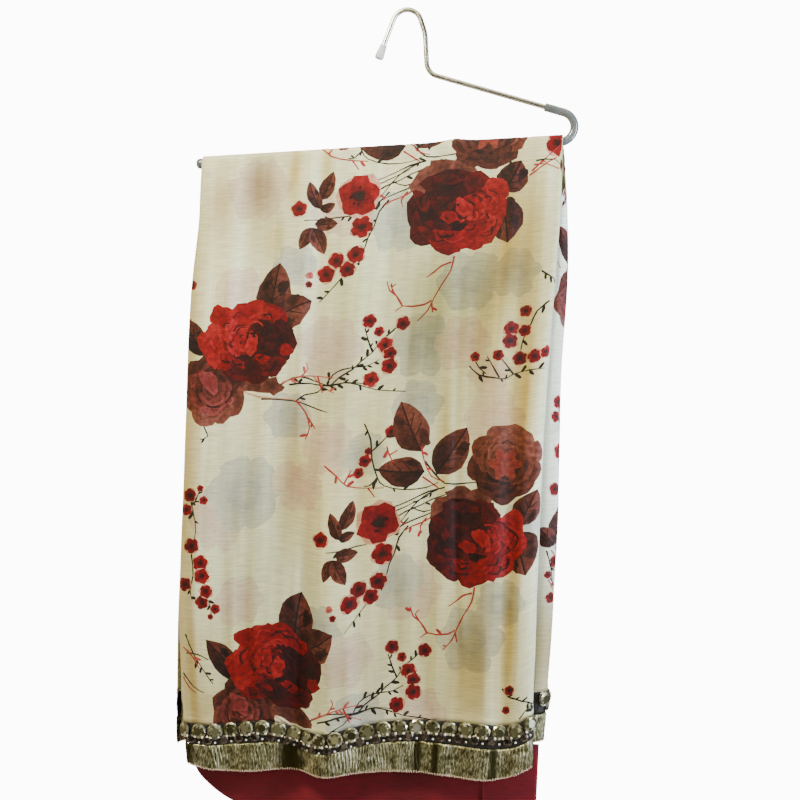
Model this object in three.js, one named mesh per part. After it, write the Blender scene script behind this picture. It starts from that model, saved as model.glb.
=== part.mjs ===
// A folded printed saree hung over the bar of an open-ended steel saree hanger, in millimetres.
// +X runs along the bar towards its bend, +Y to the back and +Z up. The origin is the highest
// point of the hook's inside, where a rail carries it.
import * as THREE from "three";

// ---------- hanger ----------
const ROD = 5; // rod diameter
const SLEEVE = 8.2; // PVC sleeve, outside diameter
const SLEEVE_BORE = 5.8; // PVC sleeve, inside diameter
const SLEEVE_START_X = 142; // where the sleeve begins, on the shoulder
const CAP_CLEARANCE = 0.45; // play between a cap and what it sits on
const BAR_END = { x: -206, z: -155.8 }; // open end of the bar's axis
const NOSE = { x: 244.4, z: -121.1, bend: 15 }; // where shoulder and bar would cross
const NECK = { x: 23.3, z: -61.1, bend: 15 };
const HOOK_TIP = { x: -23.9, z: -39 };

// The rod's corners from the hook's tip to the bar's open end, each with its bend radius.
const ROD_CORNERS = [
  { x: HOOK_TIP.x, z: HOOK_TIP.z, bend: 0 },
  { x: -0.3, z: 30.2, bend: 14.4 },
  { x: 19.4, z: -21.3, bend: 40 },
  NECK,
  NOSE,
  { x: BAR_END.x, z: BAR_END.z, bend: 0 },
];

// Half profiles of the two caps: along is the distance from the mouth, out the radius.
const HOOK_CAP = { socket: 6, mouth: 3.5, bell: 4.4, length: 14.5 };
const BAR_CAP = { socket: 4, mouth: 5, bell: 5.3, length: 8 };

// ---------- cloth ----------
const CLOTH = 1.2; // wall that stands for the outer layers
const CLEARANCE = 0.8; // inner layers to the outer wall
const SEAM = 0.6; // gap where two pieces are sewn edge to edge
const OVER_BAR = 7.4; // radius of the outer cloth over the bar
const FRONT_OVER_BAR = 130; // degrees of the bar that the front piece covers
const DROP = 600; // length that the folds are spread over
const FOLDS_START = 40; // they reach their height this far below the bar
const RUCK = { x: 54, width: 13, height: 2.6 }; // small hump of cloth on the bar

// Side edges and half depth of the folded bundle, by distance below the bar.
const EDGES = [
  { down: 0, frontLeft: -203, frontRight: 161, rearLeft: -203, rearRight: 161, depth: 7.4 },
  { down: 60, frontLeft: -203.5, frontRight: 162.5, rearLeft: -205, rearRight: 168, depth: 10 },
  { down: 140, frontLeft: -208, frontRight: 160.5, rearLeft: -209, rearRight: 172, depth: 12.5 },
  { down: 215, frontLeft: -208, frontRight: 157.5, rearLeft: -210, rearRight: 170, depth: 14 },
  { down: 290, frontLeft: -206.8, frontRight: 156, rearLeft: -211, rearRight: 171, depth: 15.5 },
  { down: 370, frontLeft: -205.5, frontRight: 156.4, rearLeft: -211, rearRight: 173, depth: 17 },
  { down: 450, frontLeft: -204, frontRight: 157, rearLeft: -211, rearRight: 172.5, depth: 18.5 },
  { down: 500, frontLeft: -200, frontRight: 157.5, rearLeft: -210, rearRight: 172, depth: 19.5 },
  { down: 545, frontLeft: -195.5, frontRight: 157.7, rearLeft: -208, rearRight: 170, depth: 20 },
  { down: 612, frontLeft: -186, frontRight: 159, rearLeft: -204, rearRight: 167, depth: 20 },
];

// Lower edges across the cloth: top of the bead band, top of the gold band and the hem itself.
const FRONT_HEM = [
  { x: -190, bead: -721.5, gold: -742.5, hem: -762 },
  { x: -156, bead: -721, gold: -742, hem: -767 },
  { x: -112, bead: -713.5, gold: -735.5, hem: -763.8 },
  { x: -90, bead: -713.5, gold: -734, hem: -760.5 },
  { x: -67, bead: -720.5, gold: -739.8, hem: -762 },
  { x: -44, bead: -720.3, gold: -740.5, hem: -763.2 },
  { x: -11, bead: -711, gold: -731, hem: -757.5 },
  { x: 39, bead: -701, gold: -722.5, hem: -752.5 },
  { x: 113, bead: -699, gold: -723, hem: -754 },
  { x: 132, bead: -699, gold: -722.5, hem: -751 },
  { x: 146, bead: -695, gold: -718, hem: -745.5 },
  { x: 158, bead: -686.5, gold: -711, hem: -738.5 },
];
const REAR_HEM = [
  { x: -208, bead: -700.5, gold: -723, hem: -751 },
  { x: -135, bead: -693, gold: -715.5, hem: -743.5 },
  { x: -70, bead: -690.5, gold: -713, hem: -741 },
  { x: 0, bead: -681, gold: -703.5, hem: -731.5 },
  { x: 70, bead: -678.5, gold: -701, hem: -728 },
  { x: 130, bead: -670, gold: -692.5, hem: -720 },
  { x: 172, bead: -665.5, gold: -688, hem: -715 },
];

// Soft folds that run down each drop: height out of the face at the bar, half way and the hem.
const FRONT_FOLDS = [
  { x: -172, lean: 6, width: 15, top: 1.4, middle: 0.8, bottom: 2.5 },
  { x: -150, lean: 4, width: 11, top: -1.8, middle: -0.6, bottom: -1.2 },
  { x: -122, lean: 2, width: 14, top: 1.8, middle: 1.4, bottom: 2.2 },
  { x: -96, lean: 6, width: 14, top: 2.6, middle: 0.9, bottom: 1 },
  { x: -76, lean: 4, width: 14, top: -1.5, middle: -1, bottom: -7.4 },
  { x: -44, lean: 4, width: 22, top: 0.4, middle: 1.6, bottom: 8 },
  { x: 12, lean: 6, width: 26, top: 0.6, middle: -1.6, bottom: -2 },
  { x: 50, lean: 2, width: 12, top: 1, middle: -0.8, bottom: -3.4 },
  { x: 78, lean: 6, width: 13, top: 0.3, middle: -3.4, bottom: -1.5 },
  { x: 108, lean: 4, width: 17, top: 0.8, middle: 2.4, bottom: 1.6 },
  { x: 128, lean: 2, width: 10, top: -1.2, middle: -1, bottom: -3 },
];
const REAR_FOLDS = [
  { x: -160, lean: -6, width: 20, top: -1.2, middle: -2.2, bottom: -3.5 },
  { x: -118, lean: -4, width: 24, top: 1, middle: 2.4, bottom: 4.5 },
  { x: -62, lean: 5, width: 16, top: -1.6, middle: -2.8, bottom: -4 },
  { x: -14, lean: 8, width: 26, top: 0.8, middle: 2, bottom: 3.6 },
  { x: 46, lean: -6, width: 15, top: -1.4, middle: -2.4, bottom: -3 },
  { x: 92, lean: -4, width: 24, top: 1.4, middle: 2.6, bottom: 3 },
];

// Where a side edge turns in: the corner's radius grows from the bar down, and the turned lip
// stops short of the middle plane. The rear piece's right edge turns right round to the front.
const TURN_DOWN = 80; // the edge is fully turned this far below the bar
const CORNER = { atBar: 3.2, below: 7.5, reached: 300 };
const FLAT_CORNER = 2; // length kept for the corner where the edge is still flat
const LIP_STOP = 8;
const SHORTEST_LIP = 0.8;
const RETURN = { face: 4.6, lip: 20, reached: 200 };

// Inner layers: room left between the two legs, and how many folded edges show at each side.
const POCKET = 2.4;
const ROUND_BAR = 0.5; // play round the sleeve
const LEGS_CLOSE = 30; // below the bar, the two legs close over this length
const STEP = { from: 112, width: 20, front: 5.8, rear: -2.7 }; // layers step forward here
const INSET = 3; // inner edge of the layers, in from the turned edge
const LAYERS = 4;
const LAYER_SWELL = 1.5; // a folded edge stands out this much
const LAYER_VALLEY = 0.3; // and a valley this share of it
const INNER_SHORT = 10; // the layers end this far above the hem

// Border: stones in a row on the black band, and the ribbon below it.
const STONE = { pitch: 16.5, radius: 7, height: 4, below: 7, flattens: 0.3 };
const BAND_RAISE = 0.3;
const GOLD_RAISE = 0.5;

// Plain cloth that hangs below: its hidden top, lower right of the step, and its sagging fold.
const BLOUSE = { wall: 3, left: -188, right: 165, top: -600, steppedTop: -719, columns: 24 };
const BLOUSE_FOLD = [
  { x: -188, bottom: -752 },
  { x: -183, bottom: -770 },
  { x: -172, bottom: -783 },
  { x: -141, bottom: -803 },
  { x: -80, bottom: -823 },
  { x: 12, bottom: -832 },
  { x: 112, bottom: -826 },
  { x: 152, bottom: -815 },
  { x: 165, bottom: -799 },
];
const BLOUSE_WAVE = { from: -778, over: 36, height: 5, length: 150 };

// ---------- small tools ----------
const { lerp, clamp, degToRad } = THREE.MathUtils;
const HAIR = 1e-5;
const smooth = (share) => THREE.MathUtils.smoothstep(share, 0, 1);

// A column of a table at a place between its rows, on a smooth curve through them.
function read(table, by, place, column) {
  const last = table.length - 1;
  const at = clamp(place, table[0][by], table[last][by]);
  let i = 0;
  while (i < last - 1 && at > table[i + 1][by]) i += 1;
  const slope = (k) => {
    const [before, after] = [table[Math.max(k - 1, 0)], table[Math.min(k + 1, last)]];
    return (after[column] - before[column]) / (after[by] - before[by]);
  };
  const [low, high] = [table[i], table[i + 1]];
  const span = high[by] - low[by];
  const t = (at - low[by]) / span;
  const rise = high[column] - low[column];
  const [start, end] = [slope(i) * span - rise, slope(i + 1) * span - rise];
  return low[column] + rise * t + t * (1 - t) * (start * (1 - t) - end * t);
}

const span = (low, high, steps) =>
  Array.from({ length: steps + 1 }, (_, k) => lerp(low, high, k / steps));

// Closed ring round a wall: along its outer face, down the right rim, back along the inner face
// and up the left rim.
const ringOf = (outer, inner, right = [], left = []) => [
  ...outer,
  ...right,
  ...inner.toReversed(),
  ...left.toReversed(),
];

// A closed surface through rings of points. Each ring has as many points as the next, and both
// faces of its wall have `matched` points where the end rings are filled straight across.
function skin(rings, matched = 0) {
  const count = rings[0].length;
  const faces = [];
  for (let i = 0; i + 1 < rings.length; i += 1) {
    for (let k = 0; k < count; k += 1) {
      const [a, b] = [i * count + k, i * count + ((k + 1) % count)];
      faces.push([a, b, b + count], [a, b + count, a + count]);
    }
  }
  const lastStart = (rings.length - 1) * count;
  faces.push(...endFaces(rings[0], matched).map(([a, b, c]) => [a, c, b]));
  faces.push(...endFaces(rings.at(-1), matched).map((face) => face.map((k) => k + lastStart)));

  const points = rings.flat();
  const volume = faces.reduce((sum, [a, b, c]) => {
    const cross = new THREE.Vector3().crossVectors(points[b], points[c]);
    return sum + points[a].dot(cross);
  }, 0);
  if (volume < 0) faces.forEach((face) => face.reverse());
  const geometry = new THREE.BufferGeometry().setFromPoints(points);
  geometry.setIndex(faces.flat());
  return geometry;
}

// Triangles over an end ring: straight across its matched points, then over each rim.
function endFaces(ring, matched) {
  const all = ring.map((_, k) => k);
  if (!matched) return fill(ring, all);
  const rim = ring.length / 2 - matched;
  const opposite = (k) => 2 * matched + rim - 1 - k;
  const faces = all.slice(1, matched).flatMap((k) => [
    [k - 1, k, opposite(k)],
    [k - 1, opposite(k), opposite(k - 1)],
  ]);
  if (rim) {
    faces.push(...fill(ring, all.slice(matched - 1, matched + rim + 1)));
    faces.push(...fill(ring, [...all.slice(opposite(0)), 0]));
  }
  return faces;
}

// Triangles that fill the outline of some of a ring's points, turned the way it runs.
function fill(ring, chosen) {
  const normal = new THREE.Vector3();
  chosen.forEach((index, k) => {
    const next = ring[chosen[(k + 1) % chosen.length]];
    normal.add(new THREE.Vector3().crossVectors(ring[index], next));
  });
  const [x, y, z] = normal.toArray().map(Math.abs);
  const dropped = x >= y && x >= z ? 0 : y >= z ? 1 : 2;
  const kept = [0, 1, 2].filter((axis) => axis !== dropped);
  const flat = chosen.map(
    (index) => new THREE.Vector2(...kept.map((axis) => ring[index].getComponent(axis))),
  );
  return THREE.ShapeUtils.triangulateShape(flat, []).map((face) => {
    const [a, b, c] = face.map((k) => chosen[k]);
    const side = new THREE.Vector3().subVectors(ring[b], ring[a]);
    side.cross(new THREE.Vector3().subVectors(ring[c], ring[a]));
    return side.dot(normal) < 0 ? [a, c, b] : [a, b, c];
  });
}

// ---------- cloth surface ----------
const FRONT = { side: -1, left: "frontLeft", right: "frontRight", hem: FRONT_HEM, folds: FRONT_FOLDS };
const REAR = { side: 1, left: "rearLeft", right: "rearRight", hem: REAR_HEM, folds: REAR_FOLDS };

// Height of the bar's axis at x.
function barHeight(x) {
  return BAR_END.z + ((x - BAR_END.x) * (NOSE.z - BAR_END.z)) / (NOSE.x - BAR_END.x);
}

// How far the folds lift the face at x.
function foldLift(folds, x, down) {
  const share = clamp(down / DROP, 0, 1);
  const lift = folds.reduce((sum, fold) => {
    const height =
      share < 0.5
        ? lerp(fold.top, fold.middle, smooth(share * 2))
        : lerp(fold.middle, fold.bottom, smooth(share * 2 - 1));
    const off = (x - fold.x - fold.lean * share) / fold.width;
    return sum + height * Math.exp(-off * off);
  }, 0);
  return lift * smooth(down / FOLDS_START);
}

// The turned edge of a drop at one height: its angle, corner length and lip length. An angle of
// nothing is kept a hair open, so that one formula serves both the flat and the turned edge.
function turnedEdge(drop, sign, down) {
  const depth = read(EDGES, "down", down, "depth");
  const round = drop.side > 0 && sign > 0;
  const radius = round
    ? (depth + RETURN.face) / 2
    : lerp(CORNER.atBar, CORNER.below, smooth(down / CORNER.reached));
  const angle = Math.max(degToRad(round ? 180 : 90) * smooth(down / TURN_DOWN), HAIR);
  const lip = round
    ? lerp(SHORTEST_LIP, RETURN.lip, smooth(down / RETURN.reached))
    : Math.max(SHORTEST_LIP, depth - radius - LIP_STOP);
  return { angle, corner: Math.max(radius * angle, FLAT_CORNER), lip };
}

// A point of a drop's outer face in its own section: x, and how far it lies behind the face.
// across runs from -1 to 1 over the face, on to 2 round the corner and to 3 along the lip.
function sectionPoint(drop, across, down) {
  const sign = across < 0 ? -1 : 1;
  const along = Math.abs(across);
  const ends = [drop.left, drop.right].map((name, k) => {
    const edge = turnedEdge(drop, k * 2 - 1, down);
    const bent = (edge.corner * Math.sin(Math.min(edge.angle, Math.PI / 2))) / edge.angle;
    const reach = bent + edge.lip * Math.max(Math.cos(edge.angle), 0);
    return read(EDGES, "down", down, name) - (k * 2 - 1) * reach;
  });
  if (along <= 1) return { x: lerp(ends[0], ends[1], (across + 1) / 2), behind: 0 };
  const edge = turnedEdge(drop, sign, down);
  const angle = edge.angle * Math.min(along - 1, 1);
  const bent = edge.corner / edge.angle;
  const lip = edge.lip * Math.max(along - 2, 0);
  const out = bent * Math.sin(angle) + lip * Math.cos(angle);
  const behind = bent * (1 - Math.cos(angle)) + lip * Math.sin(angle);
  return { x: (sign < 0 ? ends[0] : ends[1]) + sign * out, behind };
}

// A point of a drop's outer face at a height.
function facePoint(drop, across, z) {
  let x = sectionPoint(drop, across, DROP / 2).x;
  let section;
  for (let pass = 0; pass < 3; pass += 1) {
    section = sectionPoint(drop, across, barHeight(x) - z);
    x = section.x;
  }
  const down = barHeight(x) - z;
  const flatShare = smooth(2 - Math.abs(across));
  const out = read(EDGES, "down", down, "depth") + foldLift(drop.folds, x, down) * flatShare;
  return new THREE.Vector3(x, drop.side * (out - section.behind), z);
}

// A row of spots on a drop's outer face, one at each place: its point and outward normal.
function rowOnFace(drop, places, heightAt) {
  const [step, drift] = [0.02, 0.5];
  return places.map((across) => {
    const z = heightAt(across);
    const sideways = facePoint(drop, across + step, z).sub(facePoint(drop, across - step, z));
    const upwards = facePoint(drop, across, z + drift).sub(facePoint(drop, across, z - drift));
    const normal = sideways.cross(upwards).normalize().multiplyScalar(-drop.side);
    return { across, point: facePoint(drop, across, z), normal };
  });
}

// A spot's point, moved out along its normal.
const lifted = ({ point, normal }, lift) => point.clone().addScaledVector(normal, lift);

// A point over the bar, angle degrees up from the drop's own side of it.
function overBar(drop, across, angle, lift) {
  const { x } = sectionPoint(drop, across, 0);
  const ruck = RUCK.height * Math.exp(-(((x - RUCK.x) / RUCK.width) ** 2));
  const rise = Math.sin(degToRad(angle));
  const radius = OVER_BAR + lift + (lift > -CLOTH - CLEARANCE ? ruck * rise * rise : 0);
  const y = drop.side * radius * Math.cos(degToRad(angle));
  return new THREE.Vector3(x, y, barHeight(x) + radius * rise);
}

// Height at a share of the way from the bar down to a named lower edge.
function heightDown(drop, across, share, edge, above = 0) {
  const x = sectionPoint(drop, across, DROP * share).x;
  return lerp(barHeight(x), read(drop.hem, "x", x, edge) + above, share);
}

// Shares of the way down a drop, closer together near the bar.
const sharesDown = (rows) => span(0, 1, rows).map((share) => share ** 1.3);

// Places across a drop: lip, corner, face, corner and lip.
function placesAcross(face, rightCorner, rightLip) {
  return [
    ...span(-3, -2, 1),
    ...span(-2, -1, 3).slice(1),
    ...span(-1, 1, face).slice(1),
    ...span(1, 2, rightCorner).slice(1),
    ...span(2, 3, rightLip).slice(1),
  ];
}

// ---------- cloth pieces ----------
function panelGeometry(drop, places, angles, rows) {
  const rings = angles.map((angle) =>
    ringOf(
      places.map((across) => overBar(drop, across, angle, 0)),
      places.map((across) => overBar(drop, across, angle, -CLOTH)),
    ),
  );
  for (const share of sharesDown(rows)) {
    const row = rowOnFace(drop, places, (across) => heightDown(drop, across, share, "bead", SEAM));
    rings.push(
      ringOf(
        row.map(({ point }) => point),
        row.map((spot) => lifted(spot, -CLOTH)),
      ),
    );
  }
  return skin(rings, places.length);
}

// Rows of a band between two named lower edges, from its top edge down.
function bandRows(drop, places, from, to, gap, shares) {
  return shares.map((share) =>
    rowOnFace(drop, places, (across) =>
      lerp(heightDown(drop, across, 1, from), heightDown(drop, across, 1, to, gap), share),
    ),
  );
}

// Stations along a row of spots, the same few round each stone: how far a station is off the
// stone's middle, and the share of the way between two spots at which it lies.
function stationsAlong(row, pitch, fractions) {
  const lengths = [0];
  row.slice(1).forEach(({ point }, k) => {
    lengths.push(lengths[k] + point.distanceTo(row[k].point));
  });
  const run = lengths.at(-1);
  const repeats = Math.floor(run / pitch);
  const margin = (run - repeats * pitch) / 2;
  const stops = [{ length: 0, off: pitch }];
  for (let repeat = 0; repeat < repeats; repeat += 1) {
    const middle = margin + (repeat + 0.5) * pitch;
    stops.push(...fractions.map((part) => ({ length: middle + part * pitch, off: part * pitch })));
  }
  stops.push({ length: run, off: pitch });
  return stops.map(({ length, off }) => {
    const next = Math.max(1, lengths.findIndex((each) => each >= length));
    const share = (length - lengths[next - 1]) / (lengths[next] - lengths[next - 1]);
    return { before: next - 1, share, off };
  });
}

// The spot of a row at a station.
function spotAt(row, { before, share }) {
  const [a, b] = [row[before], row[before + 1]];
  return {
    across: lerp(a.across, b.across, share),
    point: a.point.clone().lerp(b.point, share),
    normal: a.normal.clone().lerp(b.normal, share).normalize(),
  };
}

// Black band: each stone is a low dome raised out of it, over a plain inside. Stones on a lip
// are pressed flat between the layers.
function beadBandGeometry(drop, places) {
  const rows = bandRows(drop, places, "bead", "gold", SEAM, [0, 0.16, 0.33, 0.5, 0.67, 1]);
  const rings = stationsAlong(rows[0], STONE.pitch, [-0.5, -0.3, 0, 0.3]).map((station) => {
    const spots = rows.map((row) => spotAt(row, station));
    const open = smooth((2 - Math.abs(spots[0].across)) / STONE.flattens);
    const outer = spots.map((spot) => {
      const below = spot.point.distanceTo(spots[0].point) - STONE.below;
      const near = Math.hypot(station.off, below) / STONE.radius;
      const dome = STONE.height * open * Math.sqrt(Math.max(0, 1 - near * near));
      return lifted(spot, BAND_RAISE + dome);
    });
    return ringOf(
      outer,
      [spots[0], spots.at(-1)].map((spot) => lifted(spot, -CLOTH)),
    );
  });
  return skin(rings);
}

function goldBandGeometry(drop, places) {
  const rows = bandRows(drop, places, "gold", "hem", 0, [0, 0.5, 1]);
  const rings = places.map((_, k) =>
    ringOf(
      rows.map((row) => lifted(row[k], GOLD_RAISE)),
      [rows[0], rows.at(-1)].map((row) => lifted(row[k], -CLOTH)),
    ),
  );
  return skin(rings);
}

// Points down one side edge of the layers, from the outer face to the inner: a ridge for each
// folded edge, with a valley between two.
function layeredEdge(outer, inner, sign) {
  const thick = outer.distanceTo(inner);
  const swell = Math.min(LAYER_SWELL, (thick / LAYERS) * 0.4);
  return span(0, 1, LAYERS * 2)
    .slice(1, -1)
    .map((share, k) => {
      const point = outer.clone().lerp(inner, share);
      point.x += sign * swell * (k % 2 === 0 ? 1 : LAYER_VALLEY);
      return point;
    });
}

// Half of the room between the legs at a place: round the bar, the blouse piece or the step.
function innerPlane(drop, x, down) {
  const stepped = drop.side < 0 ? STEP.front : STEP.rear;
  const below = lerp(POCKET, stepped, smooth((x - STEP.from) / STEP.width));
  return lerp(SLEEVE / 2 + ROUND_BAR, below, smooth((down - SLEEVE / 2) / LEGS_CLOSE));
}

// The hidden layers: one solid from the front hem up, over the bar and down behind.
function innerLayersGeometry(places, rows) {
  const ring = (outer, inner) =>
    ringOf(
      outer,
      inner,
      layeredEdge(outer.at(-1), inner.at(-1), 1),
      layeredEdge(outer[0], inner[0], -1),
    );
  const legRing = (drop, share) => {
    const heightAt = (across) => heightDown(drop, across, share, "hem", INNER_SHORT);
    const row = rowOnFace(drop, places, heightAt);
    const outer = row.map((spot) => lifted(spot, -CLOTH - CLEARANCE));
    const inner = outer.map(({ x, z }, k) => {
      const down = barHeight(x) - z;
      const wraps = drop.side > 0 && k > 0;
      const atEnd = k === 0 || (k === places.length - 1 && !wraps);
      const edge = read(EDGES, "down", down, k ? drop.right : drop.left) - places[k] * INSET;
      const innerX = atEnd ? lerp(x, edge, smooth(down / TURN_DOWN)) : x;
      return new THREE.Vector3(innerX, drop.side * innerPlane(drop, innerX, down), z);
    });
    return ring(outer, inner);
  };
  const barRing = (angle) =>
    ring(
      places.map((across) => overBar(FRONT, across, angle, -CLOTH - CLEARANCE)),
      places.map((across) => overBar(FRONT, across, angle, SLEEVE / 2 + ROUND_BAR - OVER_BAR)),
    );
  const shares = sharesDown(rows);
  return skin(
    [
      ...shares.toReversed().map((share) => legRing(FRONT, share)),
      ...span(0, 180, 6).slice(1, -1).map(barRing),
      ...shares.map((share) => legRing(REAR, share)),
    ],
    places.length,
  );
}

function blouseGeometry() {
  const columns = span(0, 1, BLOUSE.columns).map((share) => {
    const x = lerp(BLOUSE.left, BLOUSE.right, (1 - Math.cos(share * Math.PI)) / 2);
    const top = x < STEP.from ? BLOUSE.top : BLOUSE.steppedTop;
    return { x, top, bottom: read(BLOUSE_FOLD, "x", x, "bottom") };
  });
  const rings = [0, 0.35, 0.62, 0.8, 0.93, 1].map((share) => {
    const row = (side) =>
      columns.map(({ x, top, bottom }) => {
        const z = lerp(top, bottom, share);
        const below = smooth((BLOUSE_WAVE.from - z) / BLOUSE_WAVE.over);
        const wave = BLOUSE_WAVE.height * Math.sin((x * 2 * Math.PI) / BLOUSE_WAVE.length);
        const half = (BLOUSE.wall / 2) * (share === 1 ? 0.5 : 1);
        return new THREE.Vector3(x, side * half + wave * below, z);
      });
    return ringOf(row(-1), row(1));
  });
  return skin(rings, columns.length);
}

// ---------- hanger pieces ----------
// A bent rod's centre line: straight legs and round bends, with a place only where it needs one.
class BentRoute extends THREE.Curve {
  constructor(corners, stepAngle) {
    super();
    this.places = [];
    this.headings = [];
    const points = corners.map(({ x, z }) => new THREE.Vector3(x, 0, z));
    const legs = points.slice(1).map((point, k) => point.clone().sub(points[k]).normalize());
    this.add(points[0], legs[0]);
    for (let k = 1; k + 1 < points.length; k += 1) {
      this.addBend(points[k], legs[k - 1], legs[k], corners[k].bend, stepAngle);
    }
    this.add(points.at(-1), legs.at(-1));
  }

  add(place, heading) {
    this.places.push(place);
    this.headings.push(heading);
  }

  addBend(corner, before, after, radius, stepAngle) {
    const turn = before.angleTo(after);
    const axis = new THREE.Vector3().crossVectors(before, after).normalize();
    const start = corner.clone().addScaledVector(before, -radius * Math.tan(turn / 2));
    const toCentre = new THREE.Vector3().crossVectors(axis, before).multiplyScalar(radius);
    const centre = start.clone().add(toCentre);
    const steps = Math.max(2, Math.round(THREE.MathUtils.radToDeg(turn) / stepAngle));
    for (const angle of span(0, turn, steps)) {
      const spoke = toCentre.clone().negate().applyAxisAngle(axis, angle);
      this.add(centre.clone().add(spoke), before.clone().applyAxisAngle(axis, angle));
    }
  }

  getPoint(share) {
    return this.between(this.places, share);
  }

  getPointAt(share) {
    return this.getPoint(share);
  }

  getTangentAt(share) {
    return this.between(this.headings, share).normalize();
  }

  between(list, share) {
    const place = share * (list.length - 1);
    const k = Math.min(Math.floor(place), list.length - 2);
    return list[k].clone().lerp(list[k + 1], place - k);
  }
}

function bentTube(corners, outside, bore, sides) {
  const route = new BentRoute(corners, 18);
  const section = new THREE.Shape();
  section.absarc(0, 0, outside / 2, 0, 2 * Math.PI);
  if (bore) {
    const hole = new THREE.Path();
    hole.absarc(0, 0, bore / 2, 0, 2 * Math.PI, true);
    section.holes.push(hole);
  }
  return new THREE.ExtrudeGeometry(section, {
    steps: route.places.length - 1,
    curveSegments: sides / 2,
    extrudePath: route,
  });
}

// A cap with a blind socket, its mouth at the origin and its closed end up +Y.
function capGeometry({ socket, mouth, bell, length }, inside) {
  const bore = inside / 2 + CAP_CLEARANCE;
  const profile = [
    [0, socket],
    [bore, socket],
    [bore, 0],
    [mouth, 0],
    [mouth, length * 0.25],
    [bell, length * 0.7],
    [bell, length * 0.88],
    [bell * 0.7, length],
    [0, length],
  ];
  const points = profile.map(([out, along]) => new THREE.Vector2(out, along));
  return new THREE.LatheGeometry(points, 14);
}

// Puts a cap's mouth a socket's depth back from a rod end that points along a heading.
function seatCap(geometry, end, heading, socket) {
  const direction = heading.clone().normalize();
  geometry.applyQuaternion(
    new THREE.Quaternion().setFromUnitVectors(new THREE.Vector3(0, 1, 0), direction),
  );
  const mouth = end.clone().addScaledVector(direction, CAP_CLEARANCE - socket);
  return geometry.translate(mouth.x, mouth.y, mouth.z);
}

function hookCapGeometry() {
  const tip = new THREE.Vector3(HOOK_TIP.x, 0, HOOK_TIP.z);
  const heading = tip.clone().sub(new THREE.Vector3(ROD_CORNERS[1].x, 0, ROD_CORNERS[1].z));
  return seatCap(capGeometry(HOOK_CAP, ROD), tip, heading, HOOK_CAP.socket);
}

function barCapGeometry() {
  const end = new THREE.Vector3(BAR_END.x, 0, BAR_END.z);
  const heading = end.clone().sub(new THREE.Vector3(NOSE.x, 0, NOSE.z));
  return seatCap(capGeometry(BAR_CAP, SLEEVE), end, heading, BAR_CAP.socket);
}

function sleeveGeometry() {
  const rise = (NOSE.z - NECK.z) / (NOSE.x - NECK.x);
  const start = { x: SLEEVE_START_X, z: NECK.z + rise * (SLEEVE_START_X - NECK.x), bend: 0 };
  return bentTube([start, NOSE, { ...BAR_END, bend: 0 }], SLEEVE, SLEEVE_BORE, 12);
}

// ---------- materials ----------
const material = (name, color, roughness, metalness) =>
  new THREE.MeshStandardMaterial({ name, color, roughness, metalness });
const printedCloth = material("printed ivory georgette", 0xe4d9c0, 0.75, 0);
const blackBand = material("black beaded band", 0x221c22, 0.4, 0.2);
const goldRibbon = material("crinkled gold ribbon", 0x8b8558, 0.4, 0.7);
const maroonCloth = material("maroon blouse cloth", 0x641019, 0.8, 0);
const brightSteel = material("bright steel rod", 0xc9c3b4, 0.25, 1);
const clearSleeve = material("grey clear PVC", 0x878e92, 0.25, 0);
const palePlastic = material("pale plastic", 0xdde4ea, 0.4, 0);

// ---------- the object ----------
const piece = (name, geometry, look) => {
  const mesh = new THREE.Mesh(geometry, look);
  mesh.name = name;
  return mesh;
};

const hanger = new THREE.Group();
hanger.add(
  piece("hanger_rod", bentTube(ROD_CORNERS, ROD, 0, 10), brightSteel),
  piece("hanger_sleeve", sleeveGeometry(), clearSleeve),
  piece("hanger_bar_cap", barCapGeometry(), clearSleeve),
  piece("hanger_hook_cap", hookCapGeometry(), palePlastic),
);

const FACE = 28; // places across each face
const frontPlaces = placesAcross(FACE, 3, 1);
const rearPlaces = placesAcross(FACE, 6, 2);
const rearStart = 180 - FRONT_OVER_BAR - THREE.MathUtils.radToDeg(SEAM / (OVER_BAR - CLOTH));
const saree = new THREE.Group();
saree.add(
  piece(
    "saree_front",
    panelGeometry(FRONT, frontPlaces, span(FRONT_OVER_BAR, 0, 5).slice(0, -1), 18),
    printedCloth,
  ),
  piece(
    "saree_rear",
    panelGeometry(REAR, rearPlaces, span(rearStart, 0, 2).slice(0, -1), 18),
    printedCloth,
  ),
  piece("saree_inner_layers", innerLayersGeometry(span(-1, 1, FACE), 9), printedCloth),
  piece("front_bead_band", beadBandGeometry(FRONT, frontPlaces), blackBand),
  piece("rear_bead_band", beadBandGeometry(REAR, rearPlaces), blackBand),
  piece("front_gold_band", goldBandGeometry(FRONT, frontPlaces), goldRibbon),
  piece("rear_gold_band", goldBandGeometry(REAR, rearPlaces), goldRibbon),
  piece("blouse_piece", blouseGeometry(), maroonCloth),
);

const group = new THREE.Group();
group.add(hanger, saree);

export default group;
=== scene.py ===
import math
import random

import bmesh
import bpy
import numpy as np
from mathutils import Matrix, Vector, geometry


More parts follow.
